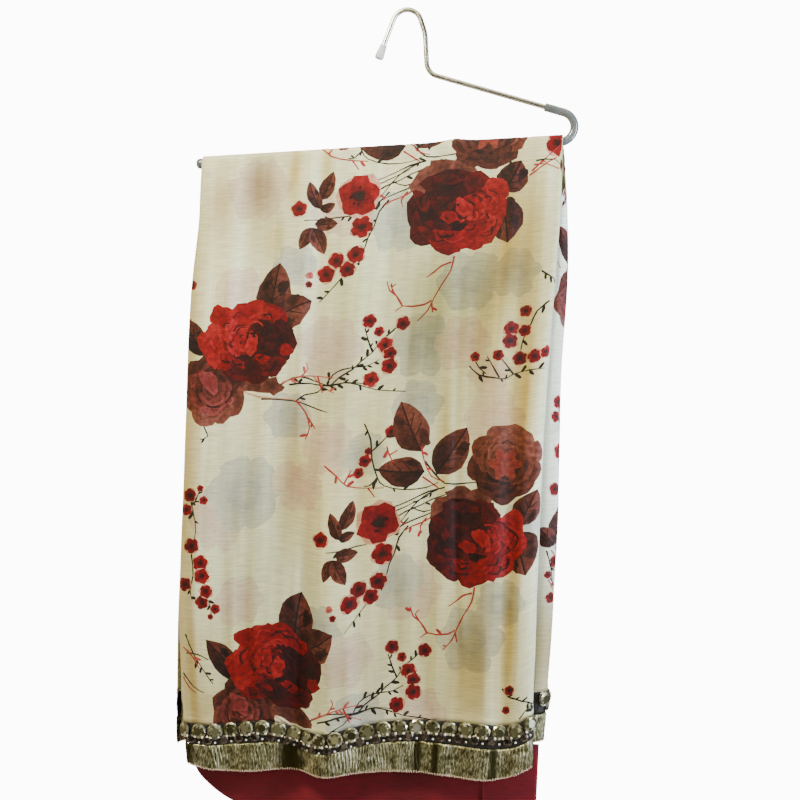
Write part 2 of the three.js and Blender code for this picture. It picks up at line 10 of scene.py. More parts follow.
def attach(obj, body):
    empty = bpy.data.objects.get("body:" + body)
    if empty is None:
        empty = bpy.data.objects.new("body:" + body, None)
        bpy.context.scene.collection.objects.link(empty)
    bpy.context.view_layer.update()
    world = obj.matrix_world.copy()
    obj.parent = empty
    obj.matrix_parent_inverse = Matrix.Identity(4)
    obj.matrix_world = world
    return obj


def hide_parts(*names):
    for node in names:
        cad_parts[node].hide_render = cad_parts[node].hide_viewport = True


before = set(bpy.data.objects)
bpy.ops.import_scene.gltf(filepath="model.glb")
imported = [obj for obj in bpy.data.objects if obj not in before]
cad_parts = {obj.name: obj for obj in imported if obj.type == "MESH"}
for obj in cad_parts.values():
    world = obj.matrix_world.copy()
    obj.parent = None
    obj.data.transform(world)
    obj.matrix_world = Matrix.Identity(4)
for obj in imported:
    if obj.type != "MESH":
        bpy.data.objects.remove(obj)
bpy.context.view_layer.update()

# ---- Hanger rod -------------------------------------------------------------------------------
# One length of 5 mm steel rod, bent cold into the hook, the neck, the sloping shoulder, the end
# bend and the bar, then nickel plated, which gives it long bright streaks with dark edges.
MM = 0.001
ROD = 5.0
# x and z of each corner of the rod's centre line, and the radius that it is bent to
HOOK_TIP = (-23.9, -39.0, 0.0)
CROWN = (-0.3, 30.2, 14.4)
HOOK_BACK = (19.4, -21.3, 40.0)
NECK = (23.3, -61.1, 15.0)
NOSE = (244.4, -121.1, 15.0)
BAR_END = (-206.0, -155.8, 0.0)


def linear(colour):
    """The linear colour of an sRGB hex value such as "#c9c3b4"."""
    parts = [int(colour[k : k + 2], 16) / 255 for k in (1, 3, 5)]
    return (*[c / 12.92 if c <= 0.04045 else ((c + 0.055) / 1.055) ** 2.4 for c in parts], 1.0)


def node(tree, kind, inputs=None, **settings):
    """Adds a shader node with its settings. An input is a plain value or a socket to link from."""
    made = tree.nodes.new("ShaderNode" + kind)
    for name, value in settings.items():
        setattr(made, name, value)
    for name, value in (inputs or {}).items():
        if isinstance(value, bpy.types.NodeSocket):
            tree.links.new(value, made.inputs[name])
        else:
            made.inputs[name].default_value = value
    return made


def start_material(name, **values):
    """A named material, its tree and its shader, with plain values set on the shader's sockets."""
    made = bpy.data.materials.new(name)
    made.use_nodes = True
    shader = made.node_tree.nodes["Principled BSDF"]
    for socket, value in values.items():
        shader.inputs[socket.replace("_", " ")].default_value = value
    return made, made.node_tree, shader


def put_in_place(name, mesh, look, *nodes):
    """Adds a finished mesh, drawn in the row frame, in place of its CAD nodes."""
    piece = bpy.data.objects.new(name, mesh)
    bpy.context.scene.collection.objects.link(piece)
    if look:
        mesh.materials.append(look)
    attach(piece, "root")
    if nodes:
        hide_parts(*nodes)
    return piece


def bent_route(corners):
    """Points along a rod's centre line, in mm: straight legs, and every 4 degrees round a bend."""
    points = [Vector((x, 0.0, z)) for x, z, _ in corners]
    line = [points[0]]
    for k in range(1, len(points) - 1):
        before = (points[k] - points[k - 1]).normalized()
        after = (points[k + 1] - points[k]).normalized()
        turn, axis, radius = before.angle(after), before.cross(after).normalized(), corners[k][2]
        to_centre = axis.cross(before) * radius
        centre = points[k] - before * radius * math.tan(turn / 2) + to_centre
        steps = max(3, round(math.degrees(turn) / 4))
        for step in range(steps + 1):
            line.append(centre - Matrix.Rotation(turn * step / steps, 3, axis) @ to_centre)
    return [*line, points[-1]]


def swept_tube(name, line, diameter):
    """A round bar along a line of points in mm."""
    curve = bpy.data.curves.new(name, "CURVE")
    curve.dimensions = "3D"
    curve.bevel_depth = diameter / 2 * MM
    curve.bevel_resolution = 8
    curve.use_fill_caps = True
    spline = curve.splines.new("POLY")
    spline.points.add(len(line) - 1)
    for point, place in zip(spline.points, line):
        point.co = (*(place * MM), 1.0)
    drawn = bpy.data.objects.new(name, curve)
    mesh = bpy.data.meshes.new_from_object(drawn)
    mesh.name = name
    mesh.shade_smooth()
    bpy.data.objects.remove(drawn)
    bpy.data.curves.remove(curve)
    return mesh


# nickel plate: very bright and a little warm, with faint clouds of wear a centimetre or so long
nickel, tree, shader = start_material(
    "nickel_plated_steel", Base_Color=linear("#ddd6c4"), Metallic=1.0, Roughness=0.26
)
spots = node(tree, "TexCoord")
marks = node(tree, "TexNoise", {"Vector": spots.outputs["Object"], "Scale": 70.0, "Detail": 3.0})
wear = node(tree, "MapRange", {"Value": marks.outputs["Fac"], "To Min": 0.2, "To Max": 0.34})
tree.links.new(wear.outputs["Result"], shader.inputs["Roughness"])
route = [HOOK_TIP, CROWN, HOOK_BACK, NECK, NOSE, BAR_END]
rod = put_in_place(
    "hanger_steel_rod", swept_tube("hanger_steel_rod", bent_route(route), ROD), nickel, "hanger_rod"
)

# ---- Hanger sleeve ----------------------------------------------------------------------------
# A grey PVC tube pushed over the bar and round the end bend, so that the cloth doesn't slip or
# snag. It starts on the shoulder, a little above the bend.
SLEEVE = 8.2
SLEEVE_START_X = 142.0

# extruded PVC: smooth and glossy, a clouded grey
pvc, tree, shader = start_material(
    "extruded_grey_pvc", Base_Color=linear("#5d6364"), Roughness=0.24, Coat_Weight=0.6
)
spots = node(tree, "TexCoord")
cloud = node(tree, "TexNoise", {"Vector": spots.outputs["Object"], "Scale": 60.0, "Detail": 2.0})
tint = node(tree, "ValToRGB", {"Fac": cloud.outputs["Fac"]})
tint.color_ramp.elements[0].color = linear("#3d4241")
tint.color_ramp.elements[1].color = linear("#7c8384")
tree.links.new(tint.outputs["Color"], shader.inputs["Base Color"])
slope = (NOSE[1] - NECK[1]) / (NOSE[0] - NECK[0])
sleeve_start = (SLEEVE_START_X, NECK[1] + slope * (SLEEVE_START_X - NECK[0]), 0.0)
sleeve = put_in_place(
    "hanger_pvc_sleeve",
    swept_tube("hanger_pvc_sleeve", bent_route([sleeve_start, NOSE, BAR_END]), SLEEVE),
    pvc,
    "hanger_sleeve",
)

# ---- Hanger caps ------------------------------------------------------------------------------
# Two moulded plastic caps: a pale bell on the hook's tip, and a grey dome pushed over the sleeve
# at the bar's open end, where the saree is slid on.
# each cap's half profile: radius, and distance from its mouth
HOOK_CAP = [(0, 5.7), (2.8, 5.7), (2.8, 0.0), (3.2, -0.2), (3.5, 0.3), (3.6, 3.0), (4.1, 7.5),
            (4.45, 10.5), (4.45, 12.6), (4.0, 13.8), (2.9, 14.4), (0, 14.5)]
BAR_CAP = [(0, 3.8), (4.4, 3.8), (4.4, 0.0), (4.8, -0.1), (5.1, 0.4), (5.25, 2.5), (5.25, 4.6),
           (4.7, 6.4), (3.4, 7.6), (1.8, 8.0), (0, 8.1)]


def turned_cap(name, profile, end, towards, socket, look, replaced):
    """A cap turned from its half profile, pushed a socket's depth over the rod's end."""
    bm = bmesh.new()
    ring = [bm.verts.new((radius * MM, 0.0, along * MM)) for radius, along in profile]
    edges = [bm.edges.new(pair) for pair in zip(ring, ring[1:])]
    bmesh.ops.spin(
        bm, geom=[*ring, *edges], axis=(0, 0, 1), angle=2 * math.pi, steps=40, use_merge=True
    )
    bmesh.ops.remove_doubles(bm, verts=bm.verts, dist=0.00001)
    bmesh.ops.recalc_face_normals(bm, faces=bm.faces)
    heading = (Vector((end[0], 0, end[1])) - Vector((towards[0], 0, towards[1]))).normalized()
    mouth = Vector((end[0], 0, end[1])) - heading * socket
    turn = Vector((0, 0, 1)).rotation_difference(heading).to_matrix().to_4x4()
    bmesh.ops.transform(bm, matrix=Matrix.Translation(mouth * MM) @ turn, verts=bm.verts)
    mesh = bpy.data.meshes.new(name)
    bm.to_mesh(mesh)
    bm.free()
    mesh.shade_smooth()
    return put_in_place(name, mesh, look, replaced)


# moulded polyethylene: waxy, faintly blue, darker where it is handled
pale_cap, tree, shader = start_material(
    "moulded_pale_polyethylene", Base_Color=linear("#dfe6ec"), Roughness=0.38,
    Subsurface_Weight=0.15, Subsurface_Scale=0.002,
)
spots = node(tree, "TexCoord")
smudge = node(tree, "TexNoise", {"Vector": spots.outputs["Object"], "Scale": 140.0, "Detail": 2.0})
tint = node(tree, "ValToRGB", {"Fac": smudge.outputs["Fac"]})
tint.color_ramp.elements[0].color = linear("#b9c2ca")
tint.color_ramp.elements[1].color = linear("#eef2f5")
tree.links.new(tint.outputs["Color"], shader.inputs["Base Color"])
hook_cap = turned_cap(
    "hanger_hook_tip_cap", HOOK_CAP, end=HOOK_TIP, towards=CROWN, socket=5.55, look=pale_cap,
    replaced="hanger_hook_cap",
)
bar_cap = turned_cap(
    "hanger_bar_end_cap", BAR_CAP, end=BAR_END, towards=NOSE, socket=3.55, look=pvc,
    replaced="hanger_bar_cap",
)

# ---- Saree, hidden folds ----------------------------------------------------------------------
# The saree is one length of printed georgette, folded lengthwise over and over into a strip and
# hung over the bar. The folds between its outer front and rear show as a stack of folded edges
# at each side, held only by the cloth's own weight.
OVER_BAR = 7.4  # radius of the outermost cloth over the bar
DROP = 600.0  # length that the folds are spread over
TURNED_BY = 80.0  # a side edge is fully turned in this far below the bar
CORNER = (3.2, 7.5)  # radius of a turned corner at the bar, and from 300 mm down
SHORT_LIP, WRAPPED_LIP = 0.8, 20.0  # the flat cloth past a corner
WRAP_GAP = 4.6  # how far in front of the bundle's middle the rear's wrapped edge lies
# distance below the bar, x of the front's left and right edges and of the rear's, and half of
# the bundle's depth
EDGES = [
    (0, -203, 161, -203, 161, 7.4), (60, -203.5, 162.5, -205, 168, 10),
    (140, -208, 160.5, -209, 172, 12.5), (215, -208, 157.5, -210, 170, 14),
    (290, -206.8, 156, -211, 171, 15.5), (370, -205.5, 156.4, -211, 173, 17),
    (450, -204, 157, -211, 172.5, 18.5), (500, -200, 157.5, -210, 172, 19.5),
    (545, -195.5, 157.7, -208, 170, 20), (612, -186, 159, -204, 167, 20),
]
# x, then the heights of the bead band's top, the gold band's top and the hem
FRONT_HEM = [
    (-190, -721.5, -742.5, -762), (-156, -721, -742, -767), (-112, -713.5, -735.5, -763.8),
    (-90, -713.5, -734, -760.5), (-67, -720.5, -739.8, -762), (-44, -720.3, -740.5, -763.2),
    (-11, -711, -731, -757.5), (39, -701, -722.5, -752.5), (113, -699, -723, -754),
    (132, -699, -722.5, -751), (146, -695, -718, -745.5), (158, -686.5, -711, -738.5),
]
REAR_HEM = [
    (-208, -700.5, -723, -751), (-135, -693, -715.5, -743.5), (-70, -690.5, -713, -741),
    (0, -681, -703.5, -731.5), (70, -678.5, -701, -728), (130, -670, -692.5, -720),
    (172, -665.5, -688, -715),
]
# x at the bar, lean down to the hem, width, and height at the bar, half way and the hem
FRONT_FOLDS = [
    (-172, 6, 15, 2.1, 1.4, 2.8), (-150, 4, 11, -2.7, -1, -1.3), (-122, 2, 14, 2.7, 2.4, 2.4),
    (-96, 6, 14, 3.9, 1.5, 1.1), (-76, 4, 14, -2.2, -1.7, -8.1), (-44, 4, 22, 0.6, 2.7, 8.8),
    (12, 6, 26, 0.9, -2.7, -2.2), (50, 2, 12, 1.5, -1.4, -3.7), (78, 6, 13, 0.4, -5.8, -1.7),
    (108, 4, 17, 1.2, 4.1, 1.8), (128, 2, 10, -1.8, -1.7, -3.3),
]
REAR_FOLDS = [
    (-160, -6, 20, -1.8, -3.3, -3.9), (-118, -4, 24, 1.5, 3.6, 5), (-62, 5, 16, -2.4, -4.2, -4.4),
    (-14, 8, 26, 1.2, 3, 4), (46, -6, 15, -2.1, -3.6, -3.3), (92, -4, 24, 2.1, 3.9, 3.3),
]


def smooth(share):
    share = np.clip(share, 0.0, 1.0)
    return share * share * (3 - 2 * share)


def lerp(a, b, share):
    return a + (b - a) * share


def read(table, at, column):
    """A column of a table at places between its rows, on a smooth curve through them."""
    rows = np.asarray(table, float)
    by, values = rows[:, 0], rows[:, column]
    slope = np.gradient(values, by)
    slope[1:-1] = (values[2:] - values[:-2]) / (by[2:] - by[:-2])
    at = np.clip(at, by[0], by[-1])
    row = np.clip(np.searchsorted(by, at, side="right") - 1, 0, len(by) - 2)
    gap, rise = by[row + 1] - by[row], values[row + 1] - values[row]
    share = (at - by[row]) / gap
    start, end = slope[row] * gap - rise, slope[row + 1] * gap - rise
    return values[row] + rise * share + share * (1 - share) * (start * (1 - share) - end * share)


def bar_height(x):
    return BAR_END[1] + (x - BAR_END[0]) * (NOSE[1] - BAR_END[1]) / (NOSE[0] - BAR_END[0])


class Drop:
    """One outer stretch of the saree: its side (-1 front, 1 rear), its lower edges, its folds, and
    the columns of EDGES that hold its side edges."""

    def __init__(self, side, hem, folds, columns):
        self.side, self.hem, self.folds, self.columns = side, hem, folds, columns


FRONT = Drop(-1, FRONT_HEM, FRONT_FOLDS, (1, 2))
REAR = Drop(1, REAR_HEM, REAR_FOLDS, (3, 4))


def turned_edge(drop, sign, down):
    """The angle, corner length and lip length of a side edge that is turned in."""
    depth = read(EDGES, down, 5)
    if drop.side > 0 and sign > 0:  # the rear piece's right edge turns right round to the front
        radius = (depth + WRAP_GAP) / 2
        angle = math.pi * smooth(down / TURNED_BY)
        lip = lerp(SHORT_LIP, WRAPPED_LIP, smooth(down / 200))
    else:
        radius = lerp(*CORNER, smooth(down / 300))
        angle = math.pi / 2 * smooth(down / TURNED_BY)
        lip = np.maximum(SHORT_LIP, depth - radius - 8)
    angle = np.maximum(angle, 0.00001)
    return angle, np.maximum(radius * angle, 2.0), lip


def section(drop, across, down):
    """x, and the distance behind the face. Across is 1 at a corner, 2 past it, 3 at the lip."""
    ends = []
    for sign, column in zip((-1, 1), drop.columns):
        angle, corner, lip = turned_edge(drop, sign, down)
        reach = corner * np.sin(np.minimum(angle, math.pi / 2)) / angle
        reach = reach + lip * np.maximum(np.cos(angle), 0)
        ends.append(read(EDGES, down, column) - sign * reach)
    x = lerp(ends[0], ends[1], (across + 1) / 2)
    behind = np.zeros_like(x)
    for sign, end in zip((-1, 1), ends):
        angle, corner, lip = turned_edge(drop, sign, down)
        along = across * sign
        turn = angle * np.clip(along - 1, 0, 1)
        flat = lip * np.clip(along - 2, 0, 1)
        bent = corner / angle
        out = bent * np.sin(turn) + flat * np.cos(turn)
        back = bent * (1 - np.cos(turn)) + flat * np.sin(turn)
        x = np.where(along > 1, end + sign * out, x)
        behind = np.where(along > 1, back, behind)
    return x, behind


def fold_lift(drop, x, down):
    share = np.clip(down / DROP, 0, 1)
    lift = np.zeros_like(x)
    for at, lean, width, top, middle, bottom in drop.folds:
        upper = lerp(top, middle, smooth(share * 2))
        lower = lerp(middle, bottom, smooth(share * 2 - 1))
        height = np.where(share < 0.5, upper, lower)
        lift += height * np.exp(-(((x - at - lean * share) / width) ** 2))
    return lift * smooth(down / 40)


def face_point(drop, across, z):
    """Points of a drop's outer face, at places across it and heights."""
    x = section(drop, across, np.full_like(z, DROP / 2))[0]
    for _ in range(3):
        x, behind = section(drop, across, bar_height(x) - z)
    down = bar_height(x) - z
    out = read(EDGES, down, 5) + fold_lift(drop, x, down) * smooth(2 - np.abs(across))
    return np.stack([x, drop.side * (out - behind), z], -1)


def height_down(drop, across, share, edge=1, above=0.0):
    """Heights a share of the way down to the bead band's top (1), the gold's (2) or the hem (3)."""
    x = section(drop, across, DROP * np.clip(share, 0, 1.1))[0]
    return lerp(bar_height(x), read(drop.hem, x, edge) + above, share)


def over_bar(drop, across, angle, lift):
    """Points of the cloth over the bar, an angle up from the drop's own side of it."""
    x = section(drop, across, np.zeros_like(across))[0]
    ruck = 2.6 * np.exp(-(((x - 54) / 13) ** 2)) * (lift > -2)  # only in the outer cloth
    radius = OVER_BAR + lift + ruck * np.sin(angle) ** 2
    y = drop.side * radius * np.cos(angle)
    return np.stack([x, y, bar_height(x) + radius * np.sin(angle)], -1)


def outward(drop, place, across, z, lift):
    """Points moved out of the face along its normal, and the normals."""
    step_x = place(drop, across + 0.003, z) - place(drop, across - 0.003, z)
    step_z = place(drop, across, z + 0.3) - place(drop, across, z - 0.3)
    normal = np.cross(step_x, step_z) * -drop.side
    normal /= np.maximum(np.linalg.norm(normal, axis=-1, keepdims=True), 1e-9)
    return place(drop, across, z) + normal * np.asarray(lift)[..., None], normal


def grid_mesh(columns, rows, place):
    """A grid of cloth. place turns shares across and down, as arrays, into points in mm."""
    bm = bmesh.new()
    bmesh.ops.create_grid(bm, x_segments=columns, y_segments=rows, size=0.5)
    flat = np.array([v.co[:2] for v in bm.verts])
    for vert, point in zip(bm.verts, place(flat[:, 0] + 0.5, 0.5 - flat[:, 1]) * MM):
        vert.co = point
    return bm


def finish_mesh(name, bm, closed=True):
    """Turns a bmesh into a smooth mesh, its faces outwards if it is a closed one."""
    if closed:
        bmesh.ops.recalc_face_normals(bm, faces=bm.faces)
    mesh = bpy.data.meshes.new(name)
    bm.to_mesh(mesh)
    bm.free()
    mesh.shade_smooth()
    return mesh


LAYERS = 7  # folded edges that show at each side of each drop
ACROSS, RIDGE = 40, 28  # points over a face, and down a stack of folded edges
LEG, TURN = 52, 26  # rows down each drop, and over the bar
ROUND_SLEEVE = SLEEVE / 2 + 0.5  # radius of the innermost cloth over the bar
UNDER = -2.0  # the layers lie this far under the outer cloth


def inner_plane(drop, x, down):
    """How far from the middle the layers' inner face is: clear of the sleeve, and below the bar
    clear of the blouse piece, with a step where the rear's right edge is wrapped round."""
    wrapped = 5.8 if drop.side < 0 else -2.7
    below = lerp(2.4, wrapped, smooth((x - 112) / 20))
    return lerp(ROUND_SLEEVE, below, smooth((down - SLEEVE / 2) / 30))


def hidden_faces(path, across):
    """Outer and inner points of the hidden layers, at rows along the strip from hem to hem."""
    outer = np.zeros((*path.shape, 3))
    inner = np.zeros_like(outer)
    for drop, rows in ((FRONT, path < LEG), (REAR, path > LEG + TURN)):
        steps = np.where(drop.side < 0, LEG - path[rows], path[rows] - LEG - TURN) / LEG
        wraps = (drop.side > 0) & (across[rows] > 1)  # inside the edge that is turned right round
        place = np.where(wraps, 1 + (across[rows] - 1) * 0.45, across[rows])
        z = height_down(drop, place, steps**1.3, 3, 10.0)
        under = UNDER - 1.6 * smooth(steps * 12)  # clear of the deepest crease
        outer[rows] = outward(drop, face_point, place, z, under)[0]
        x, z = outer[rows][:, 0], outer[rows][:, 2]
        down = bar_height(x) - z
        inset = np.where(drop.side > 0, (read(EDGES, down, 5) + WRAP_GAP) / 2, 6.0)
        stop_right = read(EDGES, down, drop.columns[1]) - inset
        stop_left = read(EDGES, down, drop.columns[0]) + 6.0
        end_right = face_point(drop, np.full_like(z, 1.45 if drop.side > 0 else 2.0), z)[:, 0]
        end_left = face_point(drop, np.full_like(z, -2.0), z)[:, 0]
        level = (x - end_left) / (end_right - end_left)
        inner_x = lerp(x, lerp(stop_left, stop_right, level), smooth(down / TURNED_BY))
        inner[rows] = np.stack([inner_x, drop.side * inner_plane(drop, inner_x, down), z], -1)
    rows = (path >= LEG) & (path <= LEG + TURN)
    angle = (path[rows] - LEG) / TURN * math.pi
    outer[rows] = over_bar(FRONT, across[rows], angle, UNDER)
    inner[rows] = over_bar(FRONT, across[rows], angle, ROUND_SLEEVE - OVER_BAR)
    return outer, inner


def hidden_layers(around, along):
    """Round the layers: the outer face, the right stack, the inner face and the left stack."""
    lap = (ACROSS + RIDGE) * 2
    stop = np.rint(around * lap) % lap
    row = np.rint(along * (2 * LEG + TURN + 2)) - 1
    closing = (row < 0) | (row > 2 * LEG + TURN)  # the last row at each end closes the stack
    path = np.clip(row, 0, 2 * LEG + TURN)
    stretch = [stop <= ACROSS, stop <= ACROSS + RIDGE, stop <= 2 * ACROSS + RIDGE]
    face = np.select(stretch, [stop / ACROSS, 1.0, (2 * ACROSS + RIDGE - stop) / ACROSS], 0.0)
    inward = np.select(
        stretch, [0.0, (stop - ACROSS) / RIDGE, 1.0], 1 - (stop - 2 * ACROSS - RIDGE) / RIDGE
    )
    outer, inner = hidden_faces(path, face * 4 - 2)
    inward = np.where(closing, 0.5, inward)
    points = lerp(outer, inner, inward[:, None])
    thick = np.linalg.norm(outer - inner, axis=-1)
    on_stack = (inward > 0) & (inward < 1) & ~closing
    swell = np.minimum(1.5, thick / LAYERS * 0.45)
    ridge = np.abs(np.sin(inward * LAYERS * math.pi)) ** 0.6
    points[:, 0] += np.where(on_stack, np.sign(face - 0.5) * swell * ridge, 0)
    return points


# printed polyester georgette: a matt, grainy crepe with faint slubs across and a soft sheen;
# its colours come from the cloth's own print, under painted fold shade and painted warm shade
georgette, tree, shader = start_material(
    "printed_crepe_georgette", Roughness=0.68, Sheen_Weight=0.07, Specular_IOR_Level=0.22
)
chart = node(tree, "UVMap", uv_map="chart")
printed = node(tree, "Attribute", attribute_name="print")
# slubs: short thick stretches of weft, about 1.6 mm apart and 20 mm long
weft = node(tree, "Mapping", {"Vector": chart.outputs["UV"], "Scale": (55.0, 620.0, 1.0)})
slubs = node(tree, "TexNoise", {"Vector": weft.outputs["Vector"], "Scale": 1.0, "Detail": 3.0})
# crepe grain: twisted threads 0.3 mm apart, drawn at 0.9 mm so that they show
grain = node(tree, "TexNoise", {"Vector": chart.outputs["UV"], "Scale": 1100.0, "Detail": 2.0})
# painted fold shade: long soft streaks down the cloth, mostly darker, at times a little lighter
warp = node(tree, "Mapping", {"Vector": chart.outputs["UV"], "Scale": (60.0, 4.0, 1.0)})
streaks = node(tree, "TexNoise", {"Vector": warp.outputs["Vector"], "Scale": 1.0, "Detail": 4.0})
# pools of dye, a few millimetres across
pools = node(tree, "TexNoise", {"Vector": chart.outputs["UV"], "Scale": 230.0, "Detail": 5.0})
pool_tone = node(
    tree, "MapRange", {"Value": pools.outputs["Fac"], "From Min": 0.35, "From Max": 0.65,
                       "To Min": 0.62, "To Max": 1.35}
)
inked = node(
    tree, "Mix", {"Factor": printed.outputs["Alpha"], 2: 1.0, 3: pool_tone.outputs["Result"]},
    data_type="FLOAT",
)
painted_fold_shade = node(
    tree, "MapRange", {"Value": streaks.outputs["Fac"], "From Min": 0.3, "From Max": 0.7,
                       "To Min": 0.86, "To Max": 1.08}
)
slub_tone = node(
    tree, "MapRange", {"Value": slubs.outputs["Fac"], "From Min": 0.3, "From Max": 0.7,
                       "To Min": 0.8, "To Max": 1.1}
)
# painted warm shade: the cloth is tinted a little tan in long bands, where the streaks are dark
bands = node(
    tree, "MapRange", {"Value": streaks.outputs["Fac"], "From Min": 0.36, "From Max": 0.62,
                       "To Min": 0.4, "To Max": 0.0}
)
painted_warm_shade = node(
    tree, "Mix", {"Factor": bands.outputs["Result"], 6: (1.0, 1.0, 1.0, 1.0),
                  7: (0.88, 0.76, 0.5, 1.0)},
    data_type="RGBA",
)
slubs_and_fold_shade = node(
    tree, "Math", {0: painted_fold_shade.outputs["Result"], 1: slub_tone.outputs["Result"]},
    operation="MULTIPLY",
)
tone = node(
    tree, "Math", {0: slubs_and_fold_shade.outputs["Value"], 1: inked.outputs[0]}, operation="MULTIPLY"
)
# the print times its slubs, its pools of dye and the painted fold shade, then the painted warm
# shade
print_and_shade = node(
    tree, "VectorMath", {0: printed.outputs["Color"], "Scale": tone.outputs["Value"]},
    operation="SCALE",
)
final = node(
    tree, "VectorMath", {0: print_and_shade.outputs["Vector"], 1: painted_warm_shade.outputs[2]}, operation="MULTIPLY"
)
tree.links.new(final.outputs["Vector"], shader.inputs["Base Color"])
relief = node(
    tree, "Math", {0: slubs.outputs["Fac"], 1: grain.outputs["Fac"]}, operation="ADD"
)
bump = node(
    tree, "Bump", {"Height": relief.outputs["Value"], "Strength": 0.35, "Distance": 0.0006}
)
tree.links.new(bump.outputs["Normal"], shader.inputs["Normal"])

IVORY = np.array(linear("#edecc8")[:3])  # the georgette's ground


def dye(mesh, colours, ink, chart_mm):
    """Stores the print, with any painted shade laid over it, on a mesh's corners: its colour, how
    inked it is, and its flat chart.
    """
    paint = mesh.color_attributes.new("print", "FLOAT_COLOR", "CORNER")
    paint.data.foreach_set("color", np.concatenate([colours, ink[:, None]], -1).ravel())
    flat = mesh.uv_layers.new(name="chart")
    flat.data.foreach_set("uv", (chart_mm * MM).ravel())


def corner_verts(mesh):
    corners = np.empty(len(mesh.loops), int)
    mesh.loops.foreach_get("vertex_index", corners)
    return corners


def vert_points(mesh):
    points = np.empty(len(mesh.vertices) * 3)
    mesh.vertices.foreach_get("co", points)
    return points.reshape(-1, 3) / MM


# the folded edges show slivers of the print, and of the borders near the hem
bm = grid_mesh((ACROSS + RIDGE) * 2, 2 * LEG + TURN + 2, hidden_layers)
bmesh.ops.remove_doubles(bm, verts=bm.verts, dist=0.00002)
layers_mesh = finish_mesh("saree_hidden_folds", bm)
spots = vert_points(layers_mesh)[corner_verts(layers_mesh)]
is_front = (spots[:, 1] < 0)[:, None]
heights = [
    np.where(is_front[:, 0], read(FRONT_HEM, spots[:, 0], k), read(REAR_HEM, spots[:, 0], k))
    for k in (1, 2)
]
colours = np.tile(IVORY, (len(spots), 1))
stripe = np.sin(spots[:, 2] / 23 + spots[:, 1] / 2.1) + np.sin(spots[:, 2] / 9.7 - spots[:, 1])
colours[stripe > 1.35] = linear("#8e2a22")[:3]
colours[stripe < -1.5] = linear("#6e4436")[:3]
colours[spots[:, 2] < heights[0]] = linear("#1b1718")[:3]
colours[spots[:, 2] < heights[1]] = linear("#7d7444")[:3]
dye(layers_mesh, colours, np.full(len(spots), 0.5), spots[:, [1, 2]])
hidden_folds = put_in_place(
    "saree_hidden_folds", layers_mesh, georgette, "saree_inner_layers"
)

# ---- Saree, printed front and rear ------------------------------------------------------------
# The outer stretch of the same georgette: over the bar and down each side, its cut edges turned
# in. It is roller printed with roses, leaves, blossom twigs and faint shadow flowers, and the
# print is cut into the flat sheet before the sheet is hung.
LENGTH = 567.0  # cloth from the bar down to the bead band
STOPS = (-3, -2, -1, 1, 2, 3)  # lips, turned corners and face edges, as places across a drop
# finer creases: u at the top, lean down to the end, start and end below the bar, width, height
FRONT_CREASES = [
    (-88, 4, 0, 330, 3.2, 1.53), (-70, -6, 10, 250, 5, -1.19), (-120, 14, 0, 210, 4.5, 1.36),
    (-146, 22, 0, 170, 4, -1.53), (-168, 10, 0, 240, 4.5, 1.53), (-184, -2, 60, 567, 4, 1.53),
    (-32, 4, 0, 200, 6, 1.02), (-5, 6, 60, 420, 7, -1.02), (30, -2, 0, 240, 5, 1.19),
    (66, 16, 120, 470, 3.4, -1.7), (76, 14, 150, 520, 4.2, 1.53), (98, 4, 210, 470, 3.6, -1.53),
    (108, 2, 0, 260, 5, 1.36), (124, 6, 60, 567, 6, -1.53), (141, 2, 20, 567, 4.2, 1.7),
    (-60, 6, 330, 580, 5, -1.7), (-82, -2, 400, 580, 4, 1.7), (-30, 2, 420, 580, 7, 1.7),
    (20, 4, 420, 580, 6, -1.19), (62, -2, 440, 580, 4, 1.36), (-150, 6, 380, 580, 5, 1.53),
    (-132, 4, 420, 580, 4, -1.36), (112, 0, 470, 580, 4, 1.53),
]
REAR_CREASES = [
    (-182, 6, 30, 560, 4.5, 1.35), (-140, 8, 0, 300, 5, -1.2), (-96, 10, 60, 500, 6, 1.35),
    (-38, -8, 0, 420, 5, -1.35), (8, 12, 120, 580, 6, 1.2), (62, -6, 0, 380, 5, 1.35),
    (84, 6, 240, 580, 4, -1.35), (120, -4, 30, 520, 6, 1.35), (146, 4, 200, 580, 4, -1.2),
    (-160, 4, 360, 580, 5, 1.35), (-12, 2, 420, 580, 5, -1.2), (40, 2, 400, 580, 5, 1.2),
]
# where each of the stops lies on the flat chart
FRONT.chart, FRONT.creases = (-212, -208, -197, 152, 163, 168), FRONT_CREASES
REAR.chart, REAR.creases = (-216, -211, -200, 160, 198, 218), REAR_CREASES


def crease_lift(drop, u, v):
    """The height of the finer creases, with a slight ripple all over."""
    lift = np.zeros_like(u)
    for at, lean, start, end, width, height in drop.creases:
        middle = at + lean * (v - start) / (end - start)
        window = smooth((v - start + 20) / 50) * smooth((end - v) / 50)
        lift += height * window * np.exp(-(((u - middle) / width) ** 2))
    lift += 0.22 * np.sin(u / 9.0 + v / 41.0) * np.sin(v / 23.0 - u / 31.0)
    return np.maximum(lift, -2.2) * smooth(v / 25)


def on_cloth(drop, u, v):
    """Points of a drop's outer face, from its flat chart: u across it and v down it, in mm."""
    across = np.interp(u, drop.chart, STOPS)
    hanging = face_point(drop, across, height_down(drop, across, np.maximum(v, 0) / LENGTH))
    turned = over_bar(drop, across, np.maximum(-v, 0) / OVER_BAR, 0.0)
    return np.where((v >= 0)[:, None], hanging, turned)


def normals_on(drop, place, u, v):
    """Outward normals of a face that place(drop, u, v) gives, with v running down."""
    along = place(drop, u + 0.4, v) - place(drop, u - 0.4, v)
    down = place(drop, u, v + 0.4) - place(drop, u, v - 0.4)
    normal = np.cross(along, down) * drop.side
    return normal / np.maximum(np.linalg.norm(normal, axis=-1, keepdims=True), 1e-9)


